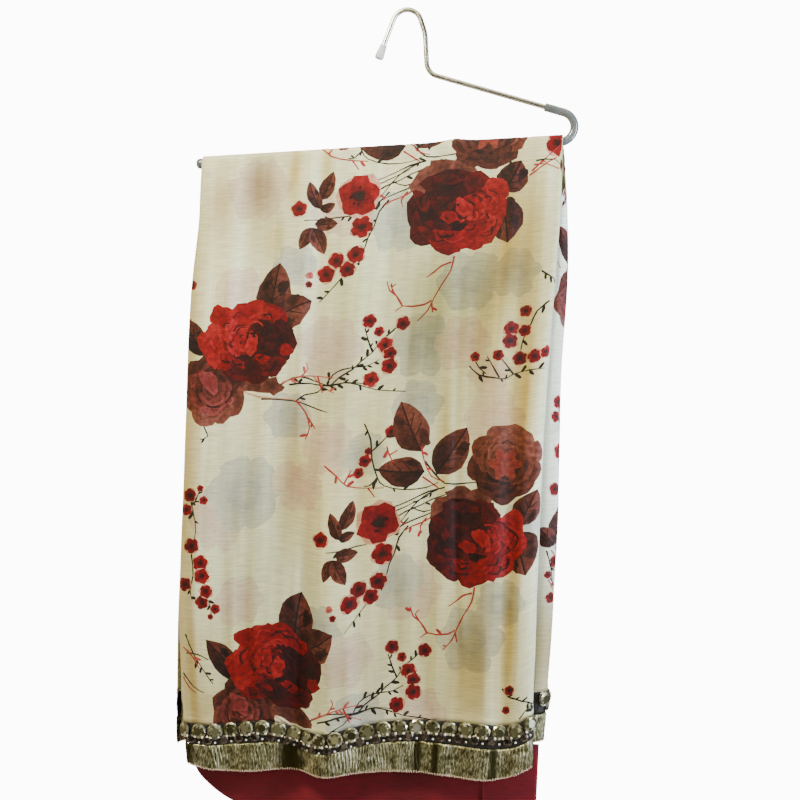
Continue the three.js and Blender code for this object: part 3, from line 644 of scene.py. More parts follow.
def creased(drop, u, v):
    """The face with its creases; the hem stands a little proud, over the band below it."""
    lift = crease_lift(drop, u, v) + 0.7 * smooth((v - LENGTH + 9) / 8)
    return on_cloth(drop, u, v) + normals_on(drop, on_cloth, u, v) * lift[:, None]


# tints on the ground: pools of dye, and painted fold shade with painted highlights on fold
# crests and edges: u, v, half width, half height, and the tint at its heart, deepened by a power
DEEPEN = 1.5
FRONT_WASHES_AND_PAINTED_LIGHT = [
    (-136, 28, 20, 34, (0.72, 0.69, 0.6)), (-178, 44, 14, 34, (0.86, 0.77, 0.72)),
    (-104, 16, 7, 34, (0.8, 0.68, 0.42)), (-87, 18, 5, 30, (1.1, 1.14, 1.2)),
    (-74, 14, 6, 26, (0.86, 0.78, 0.56)), (-118, 84, 16, 26, (0.84, 0.78, 0.64)),
    (-172, 112, 20, 44, (1.1, 1.1, 1.08)), (-46, 130, 26, 60, (0.9, 0.9, 0.8)),
    (20, 120, 34, 60, (0.94, 0.96, 0.94)), (112, 96, 14, 90, (0.86, 0.76, 0.5)),
    (86, 210, 20, 90, (1.02, 0.98, 0.86)), (62, 300, 9, 90, (0.78, 0.68, 0.44)),
    (140, 250, 10, 120, (0.84, 0.72, 0.44)), (134, 470, 9, 110, (0.82, 0.7, 0.42)),
    (-120, 420, 50, 90, (0.88, 0.9, 0.86)), (-60, 350, 26, 80, (1.08, 1.04, 0.94)),
    (-150, 500, 44, 50, (0.92, 0.88, 0.78)), (20, 470, 50, 70, (0.94, 0.93, 0.88)),
    (-196, 300, 8, 260, (0.86, 0.78, 0.62)), (152, 300, 5, 240, (1.16, 1.2, 1.3)),
    (96, 520, 20, 60, (0.84, 0.76, 0.6)), (90, 500, 66, 130, (0.84, 0.78, 0.62)),
    (122, 110, 36, 100, (0.88, 0.82, 0.66)), (46, 150, 26, 90, (0.84, 0.82, 0.7)),
    (90, 150, 30, 60, (0.9, 0.89, 0.84)), (-82, 325, 20, 110, (0.76, 0.67, 0.5)),
    (34, 185, 30, 70, (0.82, 0.79, 0.7)), (128, 250, 18, 70, (0.88, 0.8, 0.62)),
    (76, 170, 36, 80, (0.86, 0.85, 0.8)), (62, 165, 4, 80, (1.12, 1.13, 1.14)),
    (104, 150, 3, 90, (1.15, 1.14, 1.12)), (90, 175, 6, 80, (0.86, 0.84, 0.78)),
    (48, 190, 5, 70, (0.88, 0.87, 0.82)), (40, 260, 120, 190, (0.95, 0.95, 0.92)),
    (-54, 220, 20, 50, (0.86, 0.84, 0.76)), (120, 100, 26, 60, (0.88, 0.84, 0.74)),
    (-136, 40, 26, 50, (0.9, 0.88, 0.82)), (-10, 320, 16, 120, (0.9, 0.84, 0.66)),
    (-40, 520, 60, 50, (0.88, 0.86, 0.8)), (-190, 540, 8, 90, (0.78, 0.67, 0.48)),
    (-172, 556, 14, 26, (0.84, 0.76, 0.6)), (-203, 300, 6, 300, (0.8, 0.7, 0.5)),
]
# the rear's: dye, painted shade, and painted cool light on the edge turned round to the front
REAR_WASHES_AND_PAINTED_LIGHT = [
    (-110, 60, 40, 80, (0.88, 0.84, 0.74)), (20, 160, 36, 120, (0.9, 0.86, 0.74)),
    (100, 330, 26, 140, (0.84, 0.76, 0.56)), (-60, 380, 50, 110, (0.9, 0.9, 0.86)),
    (-160, 300, 20, 180, (0.88, 0.8, 0.64)), (196, 240, 26, 300, (1.07, 1.13, 1.34)),
    (60, 500, 50, 60, (0.86, 0.84, 0.78)), (190, 520, 40, 90, (0.66, 0.58, 0.44)),
]
FRONT.washes, REAR.washes = FRONT_WASHES_AND_PAINTED_LIGHT, REAR_WASHES_AND_PAINTED_LIGHT


def washed_and_painted_light(drop, u, v):
    """The tint of the ground at places on the chart: dye, painted shade and painted highlights."""
    tint = np.ones((*u.shape, 3))
    for at, down, wide, tall, colour in drop.washes:
        strength = np.exp(-(((u - at) / wide) ** 2) - ((v - down) / tall) ** 2)
        tint *= 1 + strength[..., None] * (np.array(colour) ** DEEPEN - 1)
    return tint


class Print:
    """Flat shapes in the chart, each laid over the last, with two colours from its heart out."""

    def __init__(self, seed):
        self.shapes = []
        self.chance = random.Random(seed)

    def lay(self, outline, near, far, heart, reach, ink=1.0):
        """Lays a shape whose dye goes from near, at its heart, to far, a reach away from it."""
        self.shapes.append((outline, near, far, heart, reach, ink))

    def blob(self, at, long, wide, heading, near, far, rough=0.08, sides=14, ink=1.0, heart=None):
        """An uneven round of dye, long along its heading."""
        lobes = self.chance.choice((3, 4, 5))
        phase = self.chance.uniform(0, 6.28)
        outline = []
        for k in range(sides):
            a = 2 * math.pi * k / sides
            r = 1 + rough * math.sin(lobes * a + phase) + self.chance.uniform(-rough, rough) * 0.6
            x, y = long * r * math.cos(a), wide * r * math.sin(a)
            outline.append((at[0] + x * math.cos(heading) - y * math.sin(heading),
                            at[1] + x * math.sin(heading) + y * math.cos(heading)))
        self.lay(outline, near, far, heart or at, 1.6 * max(long, wide) if heart else long, ink)

    def ribbon(self, points, width, colour, ink=1.0, tip=0.5):
        """A twig: a thin tapering stroke on a smooth line through its points."""
        line = []
        ends = [points[0], *points, points[-1]]
        for a, b, c, d in zip(ends, ends[1:], ends[2:], ends[3:]):
            for t in (0.0, 0.5):
                line.append(tuple(
                    0.5 * (2 * q + (r - p) * t + (2 * p - 5 * q + 4 * r - s) * t * t
                           + (3 * q - p - 3 * r + s) * t**3)
                    for p, q, r, s in zip(a, b, c, d)
                ))
        line.append(points[-1])
        left, back = [], []
        for k, (x, y) in enumerate(line):
            ahead, behind = line[min(k + 1, len(line) - 1)], line[max(k - 1, 0)]
            away = math.atan2(ahead[1] - behind[1], ahead[0] - behind[0]) + math.pi / 2
            half = width / 2 * (1 - (1 - tip) * k / len(line)) * self.chance.uniform(0.75, 1.25)
            left.append((x + half * math.cos(away), y + half * math.sin(away)))
            back.append((x - half * math.cos(away), y - half * math.sin(away)))
        self.lay(left + back[::-1], colour, colour, points[0], 99, ink)
        return line


def mix(a, b, share):
    """A dye a share of the way from a to b."""
    share = min(max(share, 0.0), 1.0)
    return tuple(p + (q - p) * share for p, q in zip(a, b))


def ramp(*colours):
    """A run of dyes from dark to bright, read at a share from 0 to 1."""
    stops = [linear(colour)[:3] for colour in colours]

    def at(share):
        place = min(max(share, 0.0), 0.9999) * (len(stops) - 1)
        return mix(stops[int(place)], stops[int(place) + 1], place % 1)

    return at


def moved(points, at):
    return [(x + at[0], y + at[1]) for x, y in points]


# the printing dyes
ROSE_RED = ramp("#1e0403", "#310504", "#4e0403", "#640304", "#790306", "#8a0708", "#a01f20")
ROSE_BROWN = ramp("#200e0a", "#371810", "#52251b", "#6a3528", "#7c443a", "#8f584e")
MAUVE_HEART = ramp("#260f0b", "#4c1e17", "#73302c", "#95464a")
LEAF_BROWN = ramp("#1b0d08", "#31160e", "#4b2117", "#632e23", "#753e33", "#875046")
BLOSSOM_RED = ramp("#1c0203", "#440305", "#700408", "#8a080e", "#a42a2a")
TWIG, CORAL, PINK = linear("#1c1911")[:3], linear("#a83236")[:3], linear("#c66c68")[:3]


def rose(art, at, wide, tall, lit, dyes, heart_dyes, low=0.15, high=1.0):
    """A full rose seen from above: rings of petals, brighter on its lit side."""
    toss = art.chance.uniform
    spin = toss(0, 6.28)
    petals = 9
    for k in range(petals):  # scalloped rim
        a = spin + 2 * math.pi * k / petals + toss(-0.2, 0.2)
        tone = low + (high - low) * (0.5 + 0.5 * math.cos(a - lit)) ** 1.5
        far, size = toss(0.56, 0.63), min(wide, tall) * toss(0.36, 0.45)
        x, y = at[0] + wide * far * math.cos(a), at[1] + tall * far * math.sin(a)
        art.blob((x, y), size, size * 1.05, a, dyes(tone - 0.3), dyes(tone + 0.02), 0.07, 16,
                 heart=at)
        inner = (at[0] + wide * 0.53 * math.cos(a), at[1] + tall * 0.53 * math.sin(a))
        art.blob(inner, size * 0.8, size * 0.82, a, dyes(tone - 0.42), dyes(tone - 0.14), 0.1, 14,
                 heart=at)
        if tone > 0.45:  # a pool of brighter dye
            art.blob((x, y), size * 0.42, size * 0.5, a, dyes(tone + 0.16), dyes(tone), 0.18, 10)
    for ring, (count, far, size) in enumerate([(7, 0.42, 0.32), (6, 0.28, 0.25), (5, 0.15, 0.18)]):
        spin += 0.45
        for k in range(count):
            a = spin + 2 * math.pi * k / count + toss(-0.3, 0.3)
            tone = low + (high - low) * (0.5 + 0.5 * math.cos(a - lit + 0.3 * ring)) ** 1.3
            tone = tone * 0.88 + toss(-0.12, 0.12)
            x, y = at[0] + wide * far * math.cos(a), at[1] + tall * far * math.sin(a)
            r = min(wide, tall) * size * toss(0.82, 1.25)
            art.blob((x, y), r * 0.85, r * 1.15, a, heart_dyes(tone - 0.45),
                     heart_dyes(tone + 0.05), 0.09, 14, heart=at)
            x, y = (at[0] + wide * (far - 0.05) * math.cos(a),
                    at[1] + tall * (far - 0.05) * math.sin(a))
            art.blob((x, y), r * 0.66, r * 0.95, a, heart_dyes(tone - 0.5),
                     heart_dyes(tone - 0.22), 0.12, 12, heart=at)
    art.blob(at, wide * 0.09, tall * 0.07, toss(0, 3), heart_dyes(0.1), heart_dyes(0.2), 0.2, 9)
    petal_lines(art, at, wide, tall, lit, heart_dyes, 12)


def petal_lines(art, at, wide, tall, lit, dyes, count):
    """Short curved strokes round a rose: dark clefts between petals, and licks of bright dye."""
    toss = art.chance.uniform
    for k in range(count):
        bright = k % 3 == 0
        a = lit + toss(-1.5, 1.5) if bright else toss(0, 6.28)
        far, sweep = toss(0.15, 0.8), toss(0.25, 0.7)
        stroke = []
        for t in (0, 0.5, 1):
            out = far * (1 + 0.14 * math.sin(math.pi * t))
            stroke.append((at[0] + wide * out * math.cos(a + sweep * t),
                           at[1] + tall * out * math.sin(a + sweep * t)))
        shade = 0.5 + 0.5 * math.cos(a - lit)
        tone = dyes(0.75 + 0.25 * shade) if bright else dyes(0.04 + 0.34 * shade * toss(0.3, 1))
        art.ribbon(stroke, min(wide, tall) * toss(0.035, 0.075), tone, tip=0.2)


def leaf(art, base, tip, width, tone=0.6, dyes=LEAF_BROWN):
    """A rose leaf in two halves of different tone, with a drawn-out tip and a dark patch."""
    toss = art.chance.uniform
    dx, dy = tip[0] - base[0], tip[1] - base[1]
    bow = toss(-0.05, 0.05)
    sides = []
    for hand in (-1, 1):
        side = []
        for k in range(1, 9):
            t = k / 9
            out = width / 2 * math.sin(math.pi * t**0.82) ** 0.75 * (1 + toss(-0.06, 0.06))
            out = hand * out / math.hypot(dx, dy) + bow * math.sin(math.pi * t)
            side.append((base[0] + dx * t - dy * out, base[1] + dy * t + dx * out))
        sides.append(side)
    rib = [(base[0] + dx * t - dy * bow * math.sin(math.pi * t),
            base[1] + dy * t + dx * bow * math.sin(math.pi * t)) for t in (0, 0.3, 0.6, 0.85, 1)]
    art.lay([rib[0], *sides[0], rib[-1], *rib[-2:0:-1]], dyes(tone - 0.4), dyes(tone), base,
            math.hypot(dx, dy) * 0.9)
    art.lay([rib[0], *rib[1:-1], rib[-1], *sides[1][::-1]], dyes(tone - 0.1), dyes(tone + 0.22),
            base, math.hypot(dx, dy) * 0.8)
    for k in range(3):
        side, t = sides[k % 2], toss(0.15, 0.7)
        x, y = side[int(t * 8)]
        x, y = lerp(x, base[0] + dx * t, 0.45), lerp(y, base[1] + dy * t, 0.45)
        art.blob((x, y), width * toss(0.18, 0.28), width * toss(0.1, 0.15), math.atan2(dy, dx),
                 dyes(tone - 0.42), dyes(tone - 0.18), 0.2, 10)
    art.ribbon(rib, width * 0.05 + 0.4, dyes(tone - 0.45))
    for k in (1, 3, 5):
        for side in sides:
            start = (base[0] + dx * k / 10, base[1] + dy * k / 10)
            mid = (lerp(start[0], side[k + 1][0], 0.75), lerp(start[1], side[k + 1][1], 0.75))
            art.ribbon([start, mid], width * 0.03 + 0.25, dyes(tone - 0.35))


def blossom(art, at, size, tone=0.5):
    """A small open blossom, its red bled pink round the rim, with a dark heart."""
    toss = art.chance.uniform
    art.blob(at, size * 1.08, size * 1.04, 0, mix(PINK, IVORY, 0.1), mix(PINK, IVORY, 0.3), 0.1,
             12, 0.4)
    spin = toss(0, 6.28)
    for k in range(5):
        a = spin + 1.2566 * k
        x, y = at[0] + size * 0.48 * math.cos(a), at[1] + size * 0.48 * math.sin(a)
        shade = tone + toss(-0.12, 0.14)
        art.blob((x, y), size * 0.54, size * 0.5, a, BLOSSOM_RED(shade - 0.3),
                 BLOSSOM_RED(shade + 0.12), 0.1, 10, heart=at)
    art.blob(at, size * 0.32, size * 0.26, 0, TWIG, BLOSSOM_RED(0.1), 0.2, 8)
    for k in range(4):
        a = toss(0, 6.28)
        spot = (at[0] + size * 0.4 * math.cos(a), at[1] + size * 0.4 * math.sin(a))
        art.blob(spot, size * 0.08, size * 0.06, a, BLOSSOM_RED(0), BLOSSOM_RED(0), 0.1, 5)


def twig(art, points, width=1.3, colour=TWIG, sprouts=0.0, ink=1.0):
    """A twig, with tiny leaves at both sides of it where it sprouts."""
    line = art.ribbon(points, width, colour, ink)
    for k, (x, y) in enumerate(line[1:-1]):
        if art.chance.random() > sprouts:
            continue
        ahead = line[k + 2]
        a = math.atan2(ahead[1] - y, ahead[0] - x) + art.chance.choice((-1, 1)) * 0.8
        long = art.chance.uniform(2.2, 4.4)
        spot = (x + long * math.cos(a), y + long * math.sin(a))
        art.blob(spot, long, long * 0.42, a, colour, colour, 0.12, 7, ink)


def shadow_flower(art, at, size, tint):
    """A faint shadow flower that fades into the ground."""
    ground = tuple(IVORY)
    for k in range(6):
        a = k * 1.05 + art.chance.uniform(-0.2, 0.2)
        x, y = at[0] + size * 0.45 * math.cos(a), at[1] + size * 0.45 * math.sin(a)
        art.blob((x, y), size * 0.5, size * 0.45, a, tint, mix(tint, ground, 0.35), 0.1, 16, 0.12,
                 heart=at)
    art.blob(at, size * 0.4, size * 0.36, 0, mix(tint, ground, 0.2), tint, 0.12, 14, 0.12)


GREY_SHADOW, PINK_SHADOW = linear("#b4b8b2")[:3], linear("#dcc6b8")[:3]
# each group's lines and flowers, in mm from its own anchor; a twig has its width and sprouts
RIGHT_TWIGS = [
    (1.6, 0.0, [(-52, -74), (-42, -62), (-31, -52), (-14, -52), (3, -54)]),
    (1.2, 0.1, [(-31, -48), (-47, -44), (-63, -37), (-77, -32), (-91, -30)]),
    (1.2, 0.2, [(-38, -46), (-52, -39), (-63, -29), (-72, -18), (-80, -9)]),
    (1.2, 0.2, [(-28, -35), (-44, -23), (-54, -19), (-70, -13), (-84, -6), (-99, -5)]),
    (1.3, 0.5, [(-66, -11), (-75, 0), (-79, 15), (-84, 26), (-87, 39), (-96, 50), (-106, 63),
                (-117, 76), (-127, 87)]),
    (1.2, 0.3, [(-66, -19), (-75, -10), (-87, -5), (-101, 2), (-117, 3), (-134, 5), (-148, 6)]),
    (1.2, 0.1, [(-82, -18), (-70, -25), (-56, -30), (-44, -36), (-30, -41), (-16, -49)]),
    (1.2, 0.1, [(-92, -29), (-79, -27), (-63, -33), (-47, -40)]),
    (1.1, 0.0, [(-63, -29), (-51, -24), (-37, -29), (-26, -36)]),
]
RIGHT_CORAL = [
    [(-54, -59), (-44, -52), (-37, -47)],
    [(-30, -32), (-35, -25), (-49, -15), (-63, -10), (-70, -6)],
    [(2, 49), (0, 63), (-7, 76), (-14, 90), (-19, 102), (-28, 112)],
    [(0, 55), (-9, 58), (-16, 64), (-23, 69)],
    [(-16, 92), (-23, 96), (-35, 97), (-44, 96), (-51, 101)],
    [(-44, 96), (-51, 85), (-58, 79), (-61, 70)], [(-52, 84), (-56, 77), (-52, 73)],
    [(-16, 94), (-14, 104)], [(-48, -18), (-54, -10), (-52, -3)],
    [(-70, -12), (-78, -19), (-88, -20)],
]
RIGHT_BLOSSOMS = [(-91, 14, 11), (-154, -6, 8), (-94, 41, 9), (-113, 46, 8.5), (-122, 59, 9),
                  (-101, 55, 8), (-138, 70, 3.5)]
RIGHT_LEAVES = [  # base, tip, width, tone
    ((-56, -84), (-79, -135), 36, 0.62), ((-40, -61), (-12, -107), 35, 0.5),
    ((-52, -64), (-99, -70), 31, 0.42), ((-133, -15), (-122, -43), 15, 0.5),
    ((-134, -6), (-145, -33), 13, 0.45), ((-134, -5), (-119, -11), 10, 0.4),
    ((-138, 9), (-115, 9), 14, 0.5), ((-141, 13), (-150, 35), 13, 0.45),
    ((-140, 13), (-126, 39), 16, 0.55), ((42, -7), (52, 38), 36, 0.5),
    ((44, -12), (60, -43), 30, 0.42),
]
RIGHT_STAINS = [  # brown petals round the red rose: x, y, length, width, heading, tones, sides
    (-28, -28, 20, 13, 2.6, 0.5, 0.75, 14), (-14, -40, 15, 9, 0.2, 0.35, 0.6, 12),
    (4, -38, 13, 11, 0.2, 0.3, 0.7, 12),
]
RIGHT_PATCHES = [  # patches of dye over the red rose: x, y, length, width, heading, tone
    (-8, -22, 27, 15, 0.1, 0.22), (-30, 4, 22, 17, 1.3, 0.2), (-14, -2, 12, 9, 0.6, 0.3),
    (38, -14, 15, 11, 1.2, 0.95), (36, 4, 13, 12, 0.4, 0.88), (8, 2, 13, 7, 0.9, 0.98),
    (-6, 10, 9, 6, 0.3, 0.8), (4, 20, 12, 4, 0.05, 0.12), (-6, 33, 19, 10, 0.5, 0.8),
    (16, 30, 12, 13, 1.2, 0.84), (24, 16, 7, 12, 0.2, 0.72), (-16, 18, 14, 4, 0.3, 0.4),
    (-34, -8, 13, 6, 1.0, 0.42), (-38, 14, 11, 5, 1.5, 0.38), (-10, -28, 14, 5, 0.1, 0.36),
    (14, -24, 8, 10, 0.2, 0.34), (-26, 26, 11, 5, 0.8, 0.46),
]


def patch_over(art, at, patches):
    """Deepens and brightens a red rose where its petals shade or catch the light."""
    for x, y, long, wide, heading, shade in patches:
        art.blob(*moved([(x, y)], at), long, wide, heading, ROSE_RED(shade - 0.22),
                 ROSE_RED(shade), 0.13, 14)


def right_group(art, at):
    """A red rose over a brown one, with leaves, twigs of blossom and coral sprays."""
    for width, sprouts, points in RIGHT_TWIGS:
        twig(art, moved(points, at), width * 1.3, TWIG, sprouts)
    for points in RIGHT_CORAL:
        twig(art, moved(points, at), 1.9, CORAL, 0.12, 0.5)
    for base, tip, width, tone in RIGHT_LEAVES:
        leaf(art, *moved([base, tip], at), width, tone)
    for x, y, long, wide, heading, near, far, sides in RIGHT_STAINS:
        art.blob(*moved([(x, y)], at), long, wide, heading, ROSE_BROWN(near), ROSE_BROWN(far),
                 0.14, sides)
    rose(art, *moved([(28, -72)], at), 39, 38, -1.2, ROSE_BROWN, ROSE_BROWN, 0.3, 0.85)
    for k in range(6):  # the brown rose's reddish star
        a = k * 1.05
        art.blob((at[0] + 28 + 8 * math.cos(a), at[1] - 72 + 8 * math.sin(a)), 9, 5, a,
                 linear("#7e2a20")[:3], linear("#863a2c")[:3], 0.12, 9)
    rose(art, *moved([(1, 6)], at), 52, 43, 0.55, ROSE_RED, ROSE_RED, 0.12, 0.92)
    patch_over(art, at, RIGHT_PATCHES)
    petal_lines(art, *moved([(1, 6)], at), 52, 43, 0.3, ROSE_RED, 36)
    blossom(art, *moved([(-96, -17)], at), 21, 0.55)
    for x, y, size in RIGHT_BLOSSOMS:
        blossom(art, *moved([(x, y)], at), size)


LEFT_TWIGS = [
    (1.7, 0.4, [(80, 41), (86, 32), (96, 27), (110, 26), (120, 26), (131, 21)]),
    (1.7, 0.3, [(33, 45), (46, 38), (60, 37), (80, 42), (101, 40), (120, 44)]),
    (1.7, 0.4, [(-94, -33), (-90, -22), (-82, -8), (-74, 4), (-66, 15)]),
    (1.5, 0.3, [(-94, -14), (-82, -14), (-70, -9)]), (1.4, 0.3, [(-98, 6), (-88, 18), (-76, 24)]),
]
LEFT_PINK = [
    [(35, 43), (54, 36), (70, 34), (87, 35)], [(54, 36), (60, 28), (58, 22)],
    [(66, 35), (76, 44), (88, 50)], [(-97, -20), (-86, -10), (-80, 0)],
    [(-98, 10), (-92, 20), (-84, 25)],
]
LEFT_CORAL = [
    [(50, 61), (60, 72), (64, 86), (60, 98)], [(62, 76), (70, 86)], [(70, 34), (76, 50)],
]
LEFT_PATCHES = [
    (-38, 4, 21, 12, 1.15, 0.93), (-30, -28, 12, 11, 0.4, 0.84), (-4, -30, 18, 11, 0.1, 0.86),
    (20, -24, 12, 10, 0.6, 0.8), (32, -2, 12, 19, 0.1, 0.18), (16, -12, 16, 8, 0.5, 0.2),
    (-12, -6, 8, 14, 0.3, 0.88), (2, 2, 7, 11, 0.2, 0.97), (14, 6, 7, 7, 0.2, 0.22),
    (20, 14, 15, 8, -0.5, 0.24), (14, 18, 9, 5, 0.2, 0.8), (38, 10, 7, 6, 0.2, 0.8),
    (0, 26, 22, 9, 0.3, 0.3), (-14, 18, 12, 4, 0.6, 0.7), (26, 26, 13, 9, -0.6, 0.42),
]


def left_group(art, at):
    """A red rose with a bright upper left, a brown one under it, leaves and a pink spray."""
    for width, sprouts, points in LEFT_TWIGS:
        twig(art, moved(points, at), width, TWIG, sprouts)
    for points in LEFT_PINK:
        twig(art, moved(points, at), 1.6, mix(CORAL, PINK, 0.5), 0.25, 0.5)
    twig(art, moved([(-10, 46), (12, 56), (46, 60), (58, 61)], at), 2.2,
         mix(PINK, IVORY, 0.3), 0, 0.5)
    twig(art, moved([(14, 58), (46, 61), (62, 64), (82, 69)], at), 1.8, TWIG, 0.15)
    twig(art, moved([(50, 61), (58, 54), (70, 50), (76, 44)], at), 1.6, TWIG, 0.3)
    for points in LEFT_CORAL:
        twig(art, moved(points, at), 1.9, CORAL, 0.5, 0.5)
    leaf(art, *moved([(-42, 12), (-72, -29)], at), 25, 0.3)
    leaf(art, *moved([(19, -25), (26, -78)], at), 35, 0.42)
    leaf(art, *moved([(20, -18), (60, -40)], at), 36, 0.5)
    art.blob(*moved([(8, 43)], at), 20, 9, 0.1, ROSE_BROWN(0.3), ROSE_BROWN(0.75), 0.16, 14)
    art.blob(*moved([(24, 45)], at), 13, 8, 0.5, ROSE_BROWN(0.25), ROSE_BROWN(0.6), 0.16, 12)
    rose(art, *moved([(-35, 45)], at), 36, 38, 1.9, ROSE_BROWN, MAUVE_HEART, 0.3, 0.8)
    for a in (-2.2, -1.1, 0.1, 1.2, 2.3):  # dark lines round its middle petals
        arc = [(-35 + 19 * math.cos(a + t), 45 + 19 * math.sin(a + t)) for t in (0, 0.4, 0.8)]
        art.ribbon(moved(arc, at), 2.2, ROSE_BROWN(0.05))
    art.blob(*moved([(-40, 38)], at), 14, 8, 0.9, linear("#6a2220")[:3], linear("#86363a")[:3],
             0.16, 12)
    rose(art, at, 50, 42, -2.4, ROSE_RED, ROSE_RED, 0.18, 1.0)
    patch_over(art, at, LEFT_PATCHES)
    petal_lines(art, at, 50, 42, -2.4, ROSE_RED, 36)
    art.blob(*moved([(56, -65)], at), 4, 3.6, 0, BLOSSOM_RED(0.7), PINK, 0.1, 10, 0.5)


SPRIGS = {  # twigs, and blossoms with their sizes
    "middle": (
        [[(-94, 38), (-73, 35), (-52, 36), (-38, 33), (-23, 37), (-5, 44), (23, 48)],
         [(-52, 36), (-44, 28), (-31, 21), (-23, 14), (-12, 6), (-5, -5)],
         [(-12, 6), (-17, -6), (-21, -19)], [(-2, -7), (7, -14), (14, -21)]],
        [(-17, -25, 7), (16, -20, 7), (0, 0, 8), (5, 9, 7), (5, 21, 8), (-12, 33, 8), (-7, -14, 5)],
    ),
    "right": (
        [[(25, -40), (14, -32), (9, -19), (3, -5), (2, 7)],
         [(-47, 20), (-37, 29), (-21, 32), (-10, 33), (-2, 28), (12, 25), (27, 26)],
         [(-44, 11), (-37, 22), (-30, 28)], [(-16, 32), (-23, 21), (-30, 11)],
         [(-3, 28), (-9, 21), (-17, 12)], [(14, -71), (23, -64), (34, -58)]],
        [(3, -33, 6), (-9, -16, 7.5), (-9, -4, 7.5), (4, -14, 6), (2, 13, 7), (16, 12, 7),
         (-42, 11, 5), (-19, 10, 5.5), (27, 10, 6)],
    ),
    "corner": (
        [[(-36, 8), (-30, 16), (-22, 19), (-10, 28), (-4, 33), (8, 31), (20, 22)],
         [(-18, 40), (-12, 35), (-4, 33)], [(22, 0), (17, 9), (16, 20), (24, 26)]],
        [(-29, 10, 5), (-32, 29, 4)],
    ),
    "left": (
        [[(-10, -5), (-7, 15), (-10, 31), (-7, 41)], [(0, -151), (-2, -136), (3, -125), (-5, -121)],
         [(-14, -66), (-10, -48), (-6, -30), (-10, -5)], [(-16, -50), (-7, -60), (-3, -72)],
         [(-9, -58), (1, -60)], [(2, 16), (6, 26), (6, 36), (12, 45), (13, 57)],
         [(3, 42), (17, 48)]],
        [(-10, -14, 8), (0, 3, 8), (2, 16, 8), (3, 42, 7), (17, 48, 5), (12, 56, 3), (7, 31, 7),
         (-16, 25, 7), (-14, -65, 7), (-17, -50, 6), (-3, -72, 3.5), (1, -60, 4.5)],
    ),
}


def sprig(art, name, at):
    """One of the small sprigs of blossom."""
    twigs, flowers = SPRIGS[name]
    for points in twigs:
        twig(art, moved(points, at), 1.7, TWIG, 0.65)
    for x, y, size in flowers:
        blossom(art, *moved([(x, y)], at), size, art.chance.uniform(0.4, 0.7))


REPEAT = (36.0, 326.0)  # one repeat of the print, across and down
SHADOWS = [  # shadow flowers: tint, u, v, size
    (PINK_SHADOW, -164, 362, 34), (GREY_SHADOW, -138, 338, 42), (GREY_SHADOW, 75, 133, 34),
    (PINK_SHADOW, 33, 439, 34), (PINK_SHADOW, -139, 32, 34), (GREY_SHADOW, 2, 70, 34),
    (PINK_SHADOW, -57, 193, 36), (GREY_SHADOW, 96, 486, 36), (PINK_SHADOW, -52, 291, 30),
    (GREY_SHADOW, 20, 430, 30), (PINK_SHADOW, -152, 132, 26), (GREY_SHADOW, -60, 470, 30),
    (PINK_SHADOW, 110, 270, 32), (GREY_SHADOW, -20, 560, 30), (GREY_SHADOW, 140, 380, 28),
    (GREY_SHADOW, 34, 196, 34), (GREY_SHADOW, 118, 128, 26), (PINK_SHADOW, 74, 196, 30),
    (GREY_SHADOW, -96, 262, 26), (PINK_SHADOW, -62, 60, 26), (GREY_SHADOW, -98, 112, 24),
    (GREY_SHADOW, 34, 256, 28), (PINK_SHADOW, 104, 226, 24), (GREY_SHADOW, -16, 300, 24),
    (PINK_SHADOW, -140, 446, 28), (PINK_SHADOW, -30, 500, 30), (GREY_SHADOW, 124, 450, 26),
    (PINK_SHADOW, 50, 560, 26), (PINK_SHADOW, -84, 330, 28),
]
# the spray between the two groups, whose twigs are laid over them last
SPRAY_BLOSSOMS = [(9, 280, 6.5), (-13, 297, 4), (-16, 306, 6.5), (-22, 317, 5.5)]
SPRAY_CORAL = [
    [(-57, 307), (-44, 317), (-33, 328), (-14, 333), (4, 335)], [(-36, 326), (-29, 313)],
    [(5, 294), (8, 303), (12, 310)], [(8, 303), (16, 299)], [(-12, 333), (-5, 343)],
    [(40, 297), (43, 310), (51, 327), (64, 332)],
]
SPRAY_TWIGS = [
    [(-18, 269), (-11, 286), (-9, 305), (-3, 324), (4, 333), (24, 339), (46, 338), (58, 333)],
    [(-9, 297), (0, 289), (8, 281)], [(-3, 324), (-10, 331), (-16, 331)],
]
EDGE_BLOSSOMS = [(-193, 504, 7), (-201, 517, 4), (-196, 541, 6)]
CORNER_CORAL = [
    [(124, 32), (142, 20), (150, 16)], [(128, 22), (140, 22), (152, 28)],
    [(126, 28), (146, 10), (154, 4)],
]


